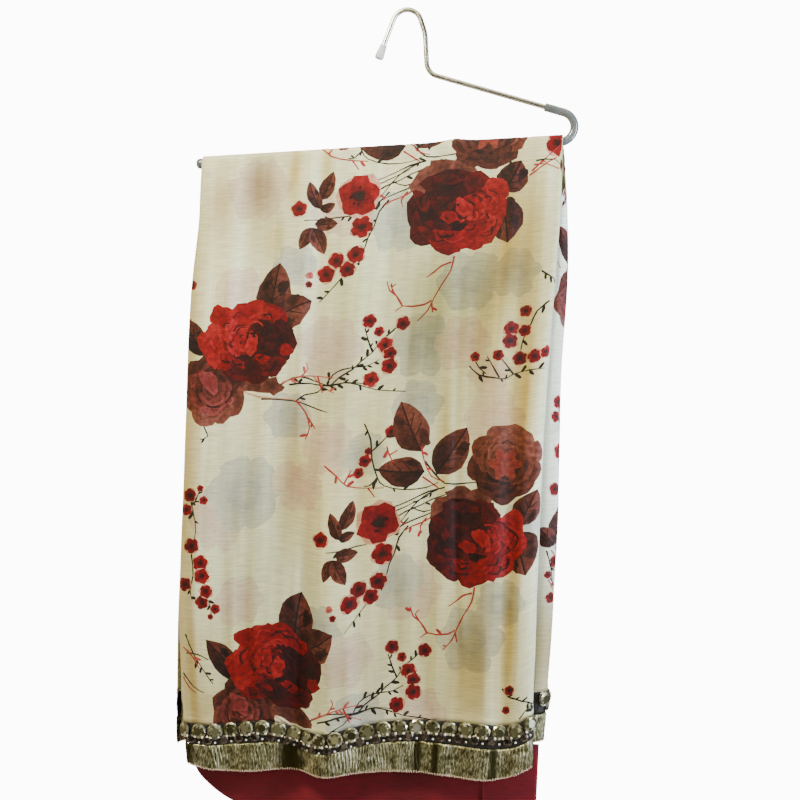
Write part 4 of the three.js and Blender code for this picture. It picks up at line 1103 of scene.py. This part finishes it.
def printed_design(seed, shift, mirrored):
    """The whole print of a drop: every group at each repeat, all of it mirrored for the rear and
    moved by the shift."""
    art = Print(seed)
    repeats = [(k, REPEAT[0] * k, REPEAT[1] * k) for k in (-1, 0, 1)]
    for tint, x, y, size in SHADOWS:
        shadow_flower(art, (x, y), size, tint)
    for k, across, down in repeats:
        sprig(art, "left", (-181 + across, 404 + down))
        sprig(art, "middle", (-2 + across, 193 + down))
        sprig(art, "right" if k < 1 else "corner", (129 + across, 198 + down))
        right_group(art, (56 + across + 4 * k, 60 + down))
        left_group(art, (-138 + across, 186 + down))
        for x, y, size in SPRAY_BLOSSOMS:
            blossom(art, (x + across, y + down), size)
    if mirrored:  # on the edge that is turned round to the front
        leaf(art, (-196, 486), (-186, 446), 26, 0.5)
        leaf(art, (-195, 487), (-213, 468), 20, 0.45)
        for x, y, size in EDGE_BLOSSOMS:
            blossom(art, (x, y), size)
        twig(art, [(-204, 492), (-198, 510), (-194, 530)], 1.6, TWIG, 0.7)
    blossom(art, (152, 2), 13, 0.6)
    blossom(art, (162, 24), 6, 0.5)
    for points in CORNER_CORAL:
        twig(art, points, 1.7, CORAL, 0.4, 0.5)
    twig(art, [(130, 18), (148, 18), (166, 30)], 1.5, TWIG, 0.3)
    for _, *at in repeats:
        for points in SPRAY_CORAL:
            twig(art, moved(points, at), 1.7, CORAL, 0.4, 0.5)
        for points in SPRAY_TWIGS:
            twig(art, moved(points, at), 1.7, TWIG, 0.6)
    hand = -1 if mirrored else 1
    return [
        ([(hand * x + shift[0], y + shift[1]) for x, y in outline], near, far,
         (hand * heart[0] + shift[0], heart[1] + shift[1]), reach, ink)
        for outline, near, far, heart, reach, ink in art.shapes
    ]


GRID = 4.0  # plain mesh between the printed shapes


def printed_sheet(name, drop, top, design, replaced):
    """Cuts the print into a flat sheet, then hangs the sheet on the drop's outer face."""
    left, right, bottom = drop.chart[0], drop.chart[-1], LENGTH + 0.4
    wide, high = round((right - left) / GRID), round((bottom - top) / GRID)
    us, vs = np.linspace(left, right, wide + 1), np.linspace(top, bottom, high + 1)
    rim = ([(u, top) for u in us] + [(right, v) for v in vs[1:]]
           + [(u, bottom) for u in us[-2::-1]] + [(left, v) for v in vs[-2:0:-1]])
    inside = [(u + (k % 2 - 0.5) * GRID * 0.4, v) for k, v in enumerate(vs[1:-1]) for u in us[1:-1]]
    near_sheet = [shape for shape in design
                  if any(left < x < right and top < y < bottom for x, y in shape[0])]
    points, faces = [*rim, *inside], [list(range(len(rim)))]
    for outline, *_ in near_sheet:
        face = list(range(len(points), len(points) + len(outline)))
        turning = sum(a[0] * b[1] - b[0] * a[1] for a, b in zip(outline, outline[1:] + outline[:1]))
        faces.append(face if turning > 0 else face[::-1])  # the cutter wants them anticlockwise
        points.extend(outline)
    cut = geometry.delaunay_2d_cdt([Vector(p) for p in points], [], faces, 1, 0.02, True)
    flat, triangles, sources = np.array([tuple(p) for p in cut[0]]), cut[2], cut[5]
    boxes = [(min(x), min(y), max(x), max(y)) for x, y in (zip(*s[0]) for s in near_sheet)]
    kept = []
    for tri, source in zip(triangles, sources):
        if 0 in source:  # the last shape laid there shows
            x, y = flat[tri].mean(0)
            laid = [k for k in source if k and boxes[k - 1][0] <= x <= boxes[k - 1][2]
                    and boxes[k - 1][1] <= y <= boxes[k - 1][3]]
            kept.append((tri, max(laid, default=0)))
    tris = np.array([tri for tri, _ in kept])
    top_shape = np.array([shape for _, shape in kept])  # 0 where the ground shows
    mesh = bpy.data.meshes.new(name)
    normals = normals_on(drop, creased, flat[:, 0], flat[:, 1])
    spots = creased(drop, flat[:, 0], flat[:, 1])
    if drop.side < 0:  # as they are cut, the triangles face the rear
        tris = tris[:, ::-1]
    mesh.from_pydata((spots * MM).tolist(), [], tris.tolist())
    ground = (IVORY, IVORY, (0, 0), 1.0, 0.0)
    near, far, heart, reach, ink = (
        np.array([plain, *[shape[k] for shape in near_sheet]])[top_shape]
        for k, plain in enumerate(ground, start=1)
    )
    at = flat[tris]
    share = smooth(np.linalg.norm(at - heart[:, None], axis=-1) / reach[:, None])[..., None]
    colours = near[:, None] + (far - near)[:, None] * share
    # the tints of dye, painted fold shade and painted highlights, over the print and its ground
    colours *= washed_and_painted_light(drop, at[..., 0], at[..., 1])
    dye(mesh, colours.reshape(-1, 3), np.repeat(ink, 3), at.reshape(-1, 2))
    mesh.shade_smooth()
    mesh.normals_split_custom_set_from_vertices(normals.tolist())
    piece = put_in_place(name, mesh, georgette, replaced)
    shell = piece.modifiers.new("cut edge", "SOLIDIFY")  # the cloth's thickness at its edges
    shell.thickness, shell.offset, shell.use_rim_only = 0.0006, -1.0, True
    return piece


front_sheet = printed_sheet(
    "saree_printed_front", FRONT, -16.8, printed_design(7, (0, 0), False), "saree_front"
)
rear_sheet = printed_sheet(
    "saree_printed_rear", REAR, -5.9, printed_design(11, (-8, -70), True), "saree_rear"
)

# ---- Borders, black bands ---------------------------------------------------------------------
# A strip of black satin is stitched along each long edge of the saree, just under the turned
# edge of the georgette. It is the ground that the stones are glued and sewn to.
BEAD_TOP, GOLD_TOP, HEM = 1, 2, 3  # the lower edges, by their column in the hem tables


def along_drop(drop, share):
    """Places across a drop at shares of its whole flat width, from lip to lip."""
    width = lerp(drop.chart[0], drop.chart[-1], share)
    return np.interp(width, drop.chart, STOPS), width


def band_heights(drop, across, upper, lower, share):
    """Heights a share of the way from one lower edge to the next."""
    top, low = (height_down(drop, across, 1.0, edge) for edge in (upper, lower))
    return lerp(top, low, share)


def band_strip(name, drop, columns, rows, upper, lower, shaped, look, replaced, thick):
    """A strip between two lower edges. shaped(width, share) gives its lift and drop."""
    def place(share, down):
        across, width = along_drop(drop, share)
        z = band_heights(drop, across, upper, lower, down)
        lift, fall = shaped(width, down)
        return outward(drop, face_point, across, z - fall, lift)[0]

    mesh = finish_mesh(name, grid_mesh(columns, rows, place), closed=False)
    facing = np.mean([polygon.normal.y for polygon in mesh.polygons])
    if facing * drop.side < 0:  # an open strip faces away from the middle of the bundle
        mesh.flip_normals()
    piece = put_in_place(name, mesh, look, replaced)
    shell = piece.modifiers.new("ribbon thickness", "SOLIDIFY")
    shell.thickness, shell.offset = thick * MM, -1.0
    return piece


# ribbed black satin: near black, with a dull gleam broken up by its ribs, about 1 mm apart
black_satin, tree, shader = start_material(
    "ribbed_black_satin", Base_Color=linear("#17130f"), Roughness=0.5
)
spots = node(tree, "TexCoord")
ribs = node(tree, "TexNoise", {"Vector": spots.outputs["Object"], "Scale": 900.0, "Detail": 3.0})
tint = node(tree, "ValToRGB", {"Fac": ribs.outputs["Fac"]})
tint.color_ramp.elements[0].position, tint.color_ramp.elements[1].position = 0.4, 0.75
tint.color_ramp.elements[0].color = linear("#0c0906")
tint.color_ramp.elements[1].color = linear("#2e241a")
tree.links.new(tint.outputs["Color"], shader.inputs["Base Color"])
bump = node(tree, "Bump", {"Height": ribs.outputs["Fac"], "Strength": 0.6, "Distance": 0.0008})
tree.links.new(bump.outputs["Normal"], shader.inputs["Normal"])


def black_shape(width, share):
    """Slightly rounded across, with its top edge tucked up behind the hem of the georgette."""
    rise = -1.3 * np.clip(1 - share * 12, 0, 1)
    return 0.25 + 0.5 * np.sin(np.pi * share) ** 2 + 0 * width, rise - 0.3 * (share > 0.99)


for drop, where in ((FRONT, "front"), (REAR, "rear")):
    strip = band_strip(
        f"{where}_black_satin_band", drop, 260, 8, BEAD_TOP, GOLD_TOP, black_shape, black_satin,
        f"{where}_bead_band", 1.1,
    )

# ---- Borders, stones and pearls ---------------------------------------------------------------
# Round foil-backed acrylic crystals are glued in a row along each black band, with two pearls
# sewn at the foot of each, one below it, and a smoky stone between each two.
PITCH = 16.5  # from one crystal to the next
CRYSTAL = [(7.4, 0.0), (8.0, 0.8), (6.6, 2.4), (3.9, 3.4)]  # radius and height of each ring
SMOKY = [(4.7, 0.0), (5.2, 0.6), (4.1, 1.9), (2.3, 2.5)]
PEARL, SEED_PEARL = 1.35, 1.15  # radii
SAMPLES = 3000  # places looked at along a band
LAST_PLACE = 1.86  # no stone sits further round a turned corner than this


def cut_stone(name, rings, sides):
    """A faceted stone: the hull of its girdle, crown and table."""
    bm = bmesh.new()
    for k, (radius, height) in enumerate(rings):
        ring = bmesh.ops.create_circle(bm, cap_ends=False, radius=radius * MM, segments=sides)
        turn = Matrix.Rotation(math.pi / sides * (k % 2), 4, "Z")
        lift = Matrix.Translation((0, 0, height * MM))
        bmesh.ops.transform(bm, matrix=lift @ turn, verts=ring["verts"])
    bmesh.ops.convex_hull(bm, input=bm.verts)
    bmesh.ops.dissolve_limit(bm, angle_limit=0.01, verts=bm.verts, edges=bm.edges)
    mesh = bpy.data.meshes.new(name)
    bm.to_mesh(mesh)
    bm.free()
    return mesh


def bead(name, radius):
    """A small round bead, its faces put in a fixed order so that each keeps its own tone of
    painted light.
    """
    bm = bmesh.new()
    bmesh.ops.create_uvsphere(bm, u_segments=10, v_segments=6, radius=radius * MM)
    bm.faces.sort(key=lambda face: face.calc_center_median().dot(Vector((1, 31, 977))))
    mesh = bpy.data.meshes.new(name)
    bm.to_mesh(mesh)
    bm.free()
    mesh.shade_smooth()
    return mesh


def spots_along(drop, pitch, offset, below, edge, lift):
    """Frames along a band: a place each pitch, so far below an edge, turned to the face."""
    across, _ = along_drop(drop, np.linspace(0, 1, SAMPLES))
    z = height_down(drop, across, 1.0, edge) - below
    row, normal = outward(drop, face_point, across, z, np.full(SAMPLES, lift))
    run = np.concatenate([[0], np.cumsum(np.linalg.norm(np.diff(row, axis=0), axis=1))])
    repeats = math.floor(run[-1] / pitch)
    margin = (run[-1] - repeats * pitch) / 2
    frames = []
    for repeat in range(repeats):
        k = np.searchsorted(run, margin + (repeat + 0.5 + offset) * pitch)
        if 4 < k < SAMPLES - 5 and abs(across[k]) < LAST_PLACE:
            out = Vector(normal[k])
            side = Vector(row[k + 4] - row[k - 4]).normalized()
            rise = out.cross(side).normalized()
            turn = Matrix((side, rise, out)).transposed().to_4x4()
            frames.append(Matrix.Translation(Vector(row[k]) * MM) @ turn)
    return frames


def stone_row(name, template, frames, look, seed, wobble=0.12):
    """One joined mesh of a stone at every frame, each turned and tipped a little, with its own
    tone of painted light and shade for each facet, stored as a face attribute."""
    chance = random.Random(seed)
    bm = bmesh.new()
    count = len(template.vertices)
    for frame_at in frames:
        bm.from_mesh(template)
        bm.verts.ensure_lookup_table()
        turn = Matrix.Rotation(chance.uniform(0, 6.28), 4, "Z")
        tip = Matrix.Rotation(chance.uniform(-wobble, wobble), 4, "X")
        bmesh.ops.transform(bm, matrix=frame_at @ tip @ turn, verts=bm.verts[-count:])
    mesh = bpy.data.meshes.new(name)
    bm.to_mesh(mesh)
    bm.free()
    painted_glint = mesh.attributes.new("painted_glint", "FLOAT", "FACE")
    tops = [abs(polygon.normal.y) for polygon in mesh.polygons]
    # painted light and shade: a random tone per facet, darker facing straight out, lighter aside
    painted_glint.data.foreach_set("value", [lerp(chance.random(), 1 - top, 0.3) for top in tops])
    piece = put_in_place(name, mesh, look)
    return piece


def facets(name, dark, middle, bright, rough):
    """Foil-backed acrylic: each facet's colour is a painted reflection, from dark to nearly white.
    """
    look, tree, shader = start_material(name, Metallic=0.6, Roughness=rough)
    painted_glint = node(tree, "Attribute", attribute_name="painted_glint")
    tint = node(tree, "ValToRGB", {"Fac": painted_glint.outputs["Fac"]})
    tint.color_ramp.elements[0].color = linear(dark)
    tint.color_ramp.elements[1].color = linear(bright)
    tint.color_ramp.elements.new(0.5).color = linear(middle)
    tree.links.new(tint.outputs["Color"], shader.inputs["Base Color"])
    return look


crystal_look = facets("foil_backed_acrylic", "#2a2814", "#88825c", "#fffbe4", 0.16)
smoky_look = facets("smoky_foil_backed_acrylic", "#1e1711", "#564a3e", "#a2947f", 0.25)
# coated plastic pearls: a faintly warm body with a soft white gleam, painted on facet by facet
pearl_look, tree, shader = start_material(
    "coated_plastic_pearl", Base_Color=linear("#efe6d6"), Roughness=0.22, Coat_Weight=0.5
)
painted_glint = node(tree, "Attribute", attribute_name="painted_glint")
tint = node(tree, "ValToRGB", {"Fac": painted_glint.outputs["Fac"]})
tint.color_ramp.elements[0].color = linear("#d9ccb6")
tint.color_ramp.elements[1].color = linear("#fbf6ec")
tree.links.new(tint.outputs["Color"], shader.inputs["Base Color"])

crystal, smoky = cut_stone("crystal", CRYSTAL, 10), cut_stone("smoky", SMOKY, 8)
pearl, seed_pearl = bead("pearl", PEARL), bead("seed_pearl", SEED_PEARL)
BEAD_ROWS = [  # name, stone, offsets in pitches, distance below the band's top, lift, look, seed
    ("crystals", crystal, (0,), 7.4, 0.9, crystal_look, 3),
    ("smoky_stones", smoky, (0.5,), 16.0, 0.7, smoky_look, 5),
    ("pearls", pearl, (-0.24, 0.24), 12.9, 3.1, pearl_look, 6),
    ("seed_pearls", seed_pearl, (0,), 18.6, 1.8, pearl_look, 7),
]
for drop, where in ((FRONT, "front"), (REAR, "rear")):
    for name, stone, offsets, below, lift, look, seed in BEAD_ROWS:
        spots = [spot for offset in offsets
                 for spot in spots_along(drop, PITCH, offset, below, BEAD_TOP, lift)]
        stone_row(f"{where}_{name}", stone, spots, look, seed)

# ---- Borders, gold ribbon ---------------------------------------------------------------------
# Below the stones runs a ribbon woven with flat metallic yarn and crushed into fine upright
# crinkles. It is sewn down at its top, and oversewn in a pinkish thread along its free edge.
# smooth folds, uncrushed and painted dark as shade: the place across the drop, and half the width
PLAIN = [(-186, 8), (-80, 13), (47, 4), (65, 4), (122, 4)]
CRINKLE = 3.4  # from one crinkle to the next
STITCH = 2.4  # from one stitch to the next
REAR_PLAIN_SHIFT = 30  # the rear's smooth places are this much nearer the bar's open end


def crushing(width):
    """1 where the ribbon is crinkled, 0 where a fold of it lies smooth, which is painted as
    shade.
    """
    plain = sum(smooth(1.4 - abs(width - at) / half) for at, half in PLAIN)
    return 1 - np.clip(plain, 0, 1)


def gold_shape(width, share):
    """Crinkles that sway a little, a piped seam at the top and a scalloped free edge."""
    sway = 1.3 * np.sin(width / 23.0) + 0.9 * np.sin(share * 5.0 + width / 7.0)
    pleat = np.abs(np.sin((width + sway) * np.pi / CRINKLE)) ** 0.7
    small = np.sin(width * 2.9 + 3.0 * np.sin(share * 9.0 + width / 5.0))
    edge = smooth(share / 0.06) * smooth((1 - share) / 0.05)
    piped = 0.45 * np.exp(-(((share - 0.03) / 0.03) ** 2))
    lift = 0.3 + (0.95 * pleat + 0.2 * small) * edge * crushing(width) + piped
    fall = 0.5 * np.abs(np.sin(width * np.pi / STITCH)) * smooth((share - 0.93) / 0.07)
    return lift, fall


# lurex: olive gold foil yarn in dark and bright flecks, partly its own tone, partly painted glints
lurex, tree, shader = start_material(
    "crushed_gold_lurex", Metallic=0.75, Roughness=0.36
)
spots = node(tree, "TexCoord")
# yarns 0.3 mm apart, drawn at 0.7 mm so that they show, in flecks about 4 mm long
yarns = node(
    tree, "Mapping", {"Vector": spots.outputs["Object"], "Scale": (1500.0, 1500.0, 260.0)}
)
flecks = node(tree, "TexNoise", {"Vector": yarns.outputs["Vector"], "Scale": 1.0, "Detail": 4.0})
patches = node(tree, "TexNoise", {"Vector": spots.outputs["Object"], "Scale": 110.0, "Detail": 3.0})
both = node(
    tree, "Mix", {"Factor": 0.35, 2: flecks.outputs["Fac"], 3: patches.outputs["Fac"]},
    data_type="FLOAT",
)
tint = node(tree, "ValToRGB", {"Fac": both.outputs[0]})
tint.color_ramp.elements[0].position, tint.color_ramp.elements[1].position = 0.38, 0.64
tint.color_ramp.elements[0].color = linear("#2c2812")
tint.color_ramp.elements[1].color = linear("#f6f0cc")
tint.color_ramp.elements.new(0.51).color = linear("#928b60")
# painted shade: where a fold lies smooth, the ribbon takes a flat dark olive
crush_and_fold_shade = node(tree, "Attribute", attribute_name="crush_and_fold_shade")
gold_with_fold_shade = node(
    tree, "Mix", {"Factor": crush_and_fold_shade.outputs["Fac"], 6: linear("#37310f"), 7: tint.outputs["Color"]},
    data_type="RGBA",
)
tree.links.new(gold_with_fold_shade.outputs[2], shader.inputs["Base Color"])
bump = node(tree, "Bump", {"Height": flecks.outputs["Fac"], "Strength": 0.5, "Distance": 0.0006})
tree.links.new(bump.outputs["Normal"], shader.inputs["Normal"])

# polyester sewing thread: pinkish cream, matt, with painted shade and highlights on its stitches
thread, tree, shader = start_material(
    "pink_cream_sewing_thread", Base_Color=linear("#d9b9a0"), Roughness=0.7
)
painted_glint = node(tree, "Attribute", attribute_name="painted_glint")
tint = node(tree, "ValToRGB", {"Fac": painted_glint.outputs["Fac"]})
tint.color_ramp.elements[0].color = linear("#a98468")
tint.color_ramp.elements[1].color = linear("#ead2bf")
tree.links.new(tint.outputs["Color"], shader.inputs["Base Color"])
stitch = bead("stitch", 0.55)
stitch.transform(Matrix.Diagonal((1.0, 2.6, 1.0, 1.0)))
for drop, where in ((FRONT, "front"), (REAR, "rear")):
    ribbon = band_strip(
        f"{where}_gold_ribbon", drop, 900, 12, GOLD_TOP, HEM, gold_shape, lurex,
        f"{where}_gold_band", 0.5,
    )
    x = vert_points(ribbon.data)[:, 0]
    # where the smooth folds are painted dark as shade
    crush_and_fold_shade = ribbon.data.attributes.new("crush_and_fold_shade", "FLOAT", "POINT")
    shift = 0 if drop.side < 0 else REAR_PLAIN_SHIFT
    crush_and_fold_shade.data.foreach_set("value", crushing(x + shift))
    stone_row(f"{where}_edge_stitches", stitch, spots_along(drop, STITCH, 0, -0.5, HEM, 0.9),
              thread, seed=9, wobble=0.3)

# ---- Blouse piece -----------------------------------------------------------------------------
# A plain length of maroon crepe for the blouse, folded in two and slipped in between the
# saree's layers. Its fold hangs free below the hem, in soft waves.
BLOUSE_FOLD = [  # x and z along its bottom fold
    (-188, -752), (-183, -770), (-172, -783), (-141, -803), (-80, -823), (12, -832),
    (112, -826), (152, -815), (165, -799),
]
SLIPPED_UP = (-600.0, -719.0)  # its top, and where the rear's wrapped edge stops it


def blouse_cloth(around, down):
    """Round the folded piece: its front from left to right, then its back, and down to the fold."""
    turn = around * 2 % 2
    share = np.where(turn <= 1, turn, 2 - turn)
    left, right = BLOUSE_FOLD[0][0], BLOUSE_FOLD[-1][0]
    x = lerp(left, right, (1 - np.cos(share * np.pi)) / 2)
    top = np.where(x < 112, *SLIPPED_UP)
    low = read(BLOUSE_FOLD, x, 1)
    z = lerp(top, low, np.clip(down, 0, 1) ** 0.8)
    waved = smooth((-772 - z) / 40)
    wave = 5.0 * np.sin(x * 2 * np.pi / 150) + 1.1 * np.sin(x / 8.5 + z / 40) * np.cos(x / 31)
    closed = np.sqrt(np.clip((1 - down) * 14, 0, 1)) * np.sqrt(np.clip(down * 14, 0, 1))
    rim = np.sqrt(np.clip(share * 20, 0, 1) * np.clip((1 - share) * 20, 0, 1))
    half = (1.35 + 0.35 * np.sin(x / 19.0)) * closed * rim
    side = np.where(turn <= 1, -1.0, 1.0)
    return np.stack([x, side * half + wave * waved, z], -1)


# maroon crepe: deep wine red, matt, with fine slubs across and a soft bloom at its folds
maroon_crepe, tree, shader = start_material(
    "maroon_crepe", Roughness=0.75, Sheen_Weight=0.15, Sheen_Tint=linear("#c2182e")
)
spots = node(tree, "TexCoord")
weft = node(tree, "Mapping", {"Vector": spots.outputs["Object"], "Scale": (70.0, 70.0, 900.0)})
slubs = node(tree, "TexNoise", {"Vector": weft.outputs["Vector"], "Scale": 1.0, "Detail": 3.0})
bloom = node(tree, "TexNoise", {"Vector": spots.outputs["Object"], "Scale": 14.0, "Detail": 2.0})
both = node(
    tree, "Mix", {"Factor": 0.5, 2: slubs.outputs["Fac"], 3: bloom.outputs["Fac"]},
    data_type="FLOAT",
)
tint = node(tree, "ValToRGB", {"Fac": both.outputs[0]})
tint.color_ramp.elements[0].position, tint.color_ramp.elements[1].position = 0.35, 0.65
tint.color_ramp.elements[0].color = linear("#5e000c")
tint.color_ramp.elements[1].color = linear("#86021c")
tree.links.new(tint.outputs["Color"], shader.inputs["Base Color"])
bump = node(tree, "Bump", {"Height": slubs.outputs["Fac"], "Strength": 0.2, "Distance": 0.0005})
tree.links.new(bump.outputs["Normal"], shader.inputs["Normal"])
bm = grid_mesh(240, 70, blouse_cloth)
bmesh.ops.remove_doubles(bm, verts=bm.verts, dist=0.00002)
blouse = put_in_place(
    "blouse_piece_cloth", finish_mesh("blouse_piece_cloth", bm), maroon_crepe, "blouse_piece"
)

# ---- Room and light ---------------------------------------------------------------------------
# A round pale floor well below the hanging cloth, in a white room with soft studio light: a warm
# lamp from the upper left, cooler window light from the right, soft fills from the front, above,
# the left and behind, and a dim sky all round.
# matt painted floor: pale and even
pale_floor, tree, shader = start_material(
    "matt_pale_floor", Base_Color=linear("#e4e2de"), Roughness=0.8
)
bm = bmesh.new()
bmesh.ops.create_circle(bm, cap_ends=True, radius=1.45, segments=96)
bmesh.ops.transform(bm, matrix=Matrix.Translation((0, 0, -1.6)), verts=bm.verts)
floor_mesh = bpy.data.meshes.new("floor")
bm.to_mesh(floor_mesh)
bm.free()
floor_mesh.materials.append(pale_floor)
floor = bpy.data.objects.new("floor", floor_mesh)
bpy.context.scene.collection.objects.link(floor)

sky = bpy.data.worlds.new("studio")
bpy.context.scene.world = sky
sky.use_nodes = True
tree = sky.node_tree
spots = node(tree, "TexCoord")
height = node(tree, "SeparateXYZ", {"Vector": spots.outputs["Generated"]})
glow = node(tree, "ValToRGB", {"Fac": height.outputs["Z"]})
glow.color_ramp.elements[0].color = linear("#5b5650")
glow.color_ramp.elements[1].color = linear("#e8ebf0")
seen = node(tree, "LightPath")
room = node(tree, "Background", {"Color": glow.outputs["Color"], "Strength": 0.24})
white = node(tree, "Background", {"Color": (1.0, 1.0, 1.0, 1.0), "Strength": 12.0})
either = node(
    tree, "MixShader",
    {0: seen.outputs["Is Camera Ray"], 1: room.outputs["Background"],
     2: white.outputs["Background"]},
)
tree.links.new(either.outputs["Shader"], tree.nodes["World Output"].inputs["Surface"])


def soft_light(name, place, target, size, power, colour):
    """A rectangular light, in metres and watts, turned to its target."""
    lamp = bpy.data.lights.new(name, "AREA")
    lamp.shape, lamp.size, lamp.size_y = "RECTANGLE", *size
    lamp.energy, lamp.color = power, linear(colour)[:3]
    made = bpy.data.objects.new(name, lamp)
    made.location = place
    made.rotation_euler = (Vector(target) - Vector(place)).to_track_quat("-Z", "Y").to_euler()
    bpy.context.scene.collection.objects.link(made)


soft_light("lamp above", (-0.5, -0.8, 0.45), (-0.08, 0, -0.2), (0.4, 0.4), 25, "#fcf7d9")
soft_light("window", (0.95, -0.26, -0.3), (0.17, 0, -0.4), (0.3, 1.0), 23, "#dceaff")
soft_light("fill", (0.9, -2.4, -0.3), (0, 0, -0.45), (1.6, 1.6), 8, "#fbf8e0")
soft_light("overhead", (0.1, -0.25, 1.3), (0.05, 0, 0), (1.5, 1.5), 16, "#fcf5d8")
soft_light("left wall", (-1.3, 0, -0.5), (-0.2, 0, -0.5), (0.8, 1.2), 8, "#f4e2bc")
soft_light("behind", (-0.6, 1.9, 0.4), (0, 0, -0.45), (1.4, 1.4), 45, "#fff0dc")

# ---- Camera -----------------------------------------------------------------------------------
# A level camera in front of the cloth and a little to its right, turned 2.65 degrees about its
# own line of sight.
TURNED, TILTED = math.radians(9.0), math.radians(2.65)
EYE = (0.22982, -1.38105, -0.38791)
HALF_FRAME, FOCAL = 400, 1400  # in pixels of the 800 pixel frame
sight = Vector((-math.sin(TURNED), math.cos(TURNED), 0.0))
level = Vector((math.cos(TURNED), math.sin(TURNED), 0.0))
right = level * math.cos(TILTED) + Vector((0, 0, 1)) * math.sin(TILTED)
up = -level * math.sin(TILTED) + Vector((0, 0, 1)) * math.cos(TILTED)
lens = bpy.data.cameras.new("camera")
lens.angle = 2 * math.atan(HALF_FRAME / FOCAL)
camera = bpy.data.objects.new("camera", lens)
camera.matrix_world = Matrix(
    [[*axes, at] for *axes, at in zip(right, up, -sight, EYE)] + [[0, 0, 0, 1]]
)
bpy.context.scene.collection.objects.link(camera)
bpy.context.scene.camera = camera
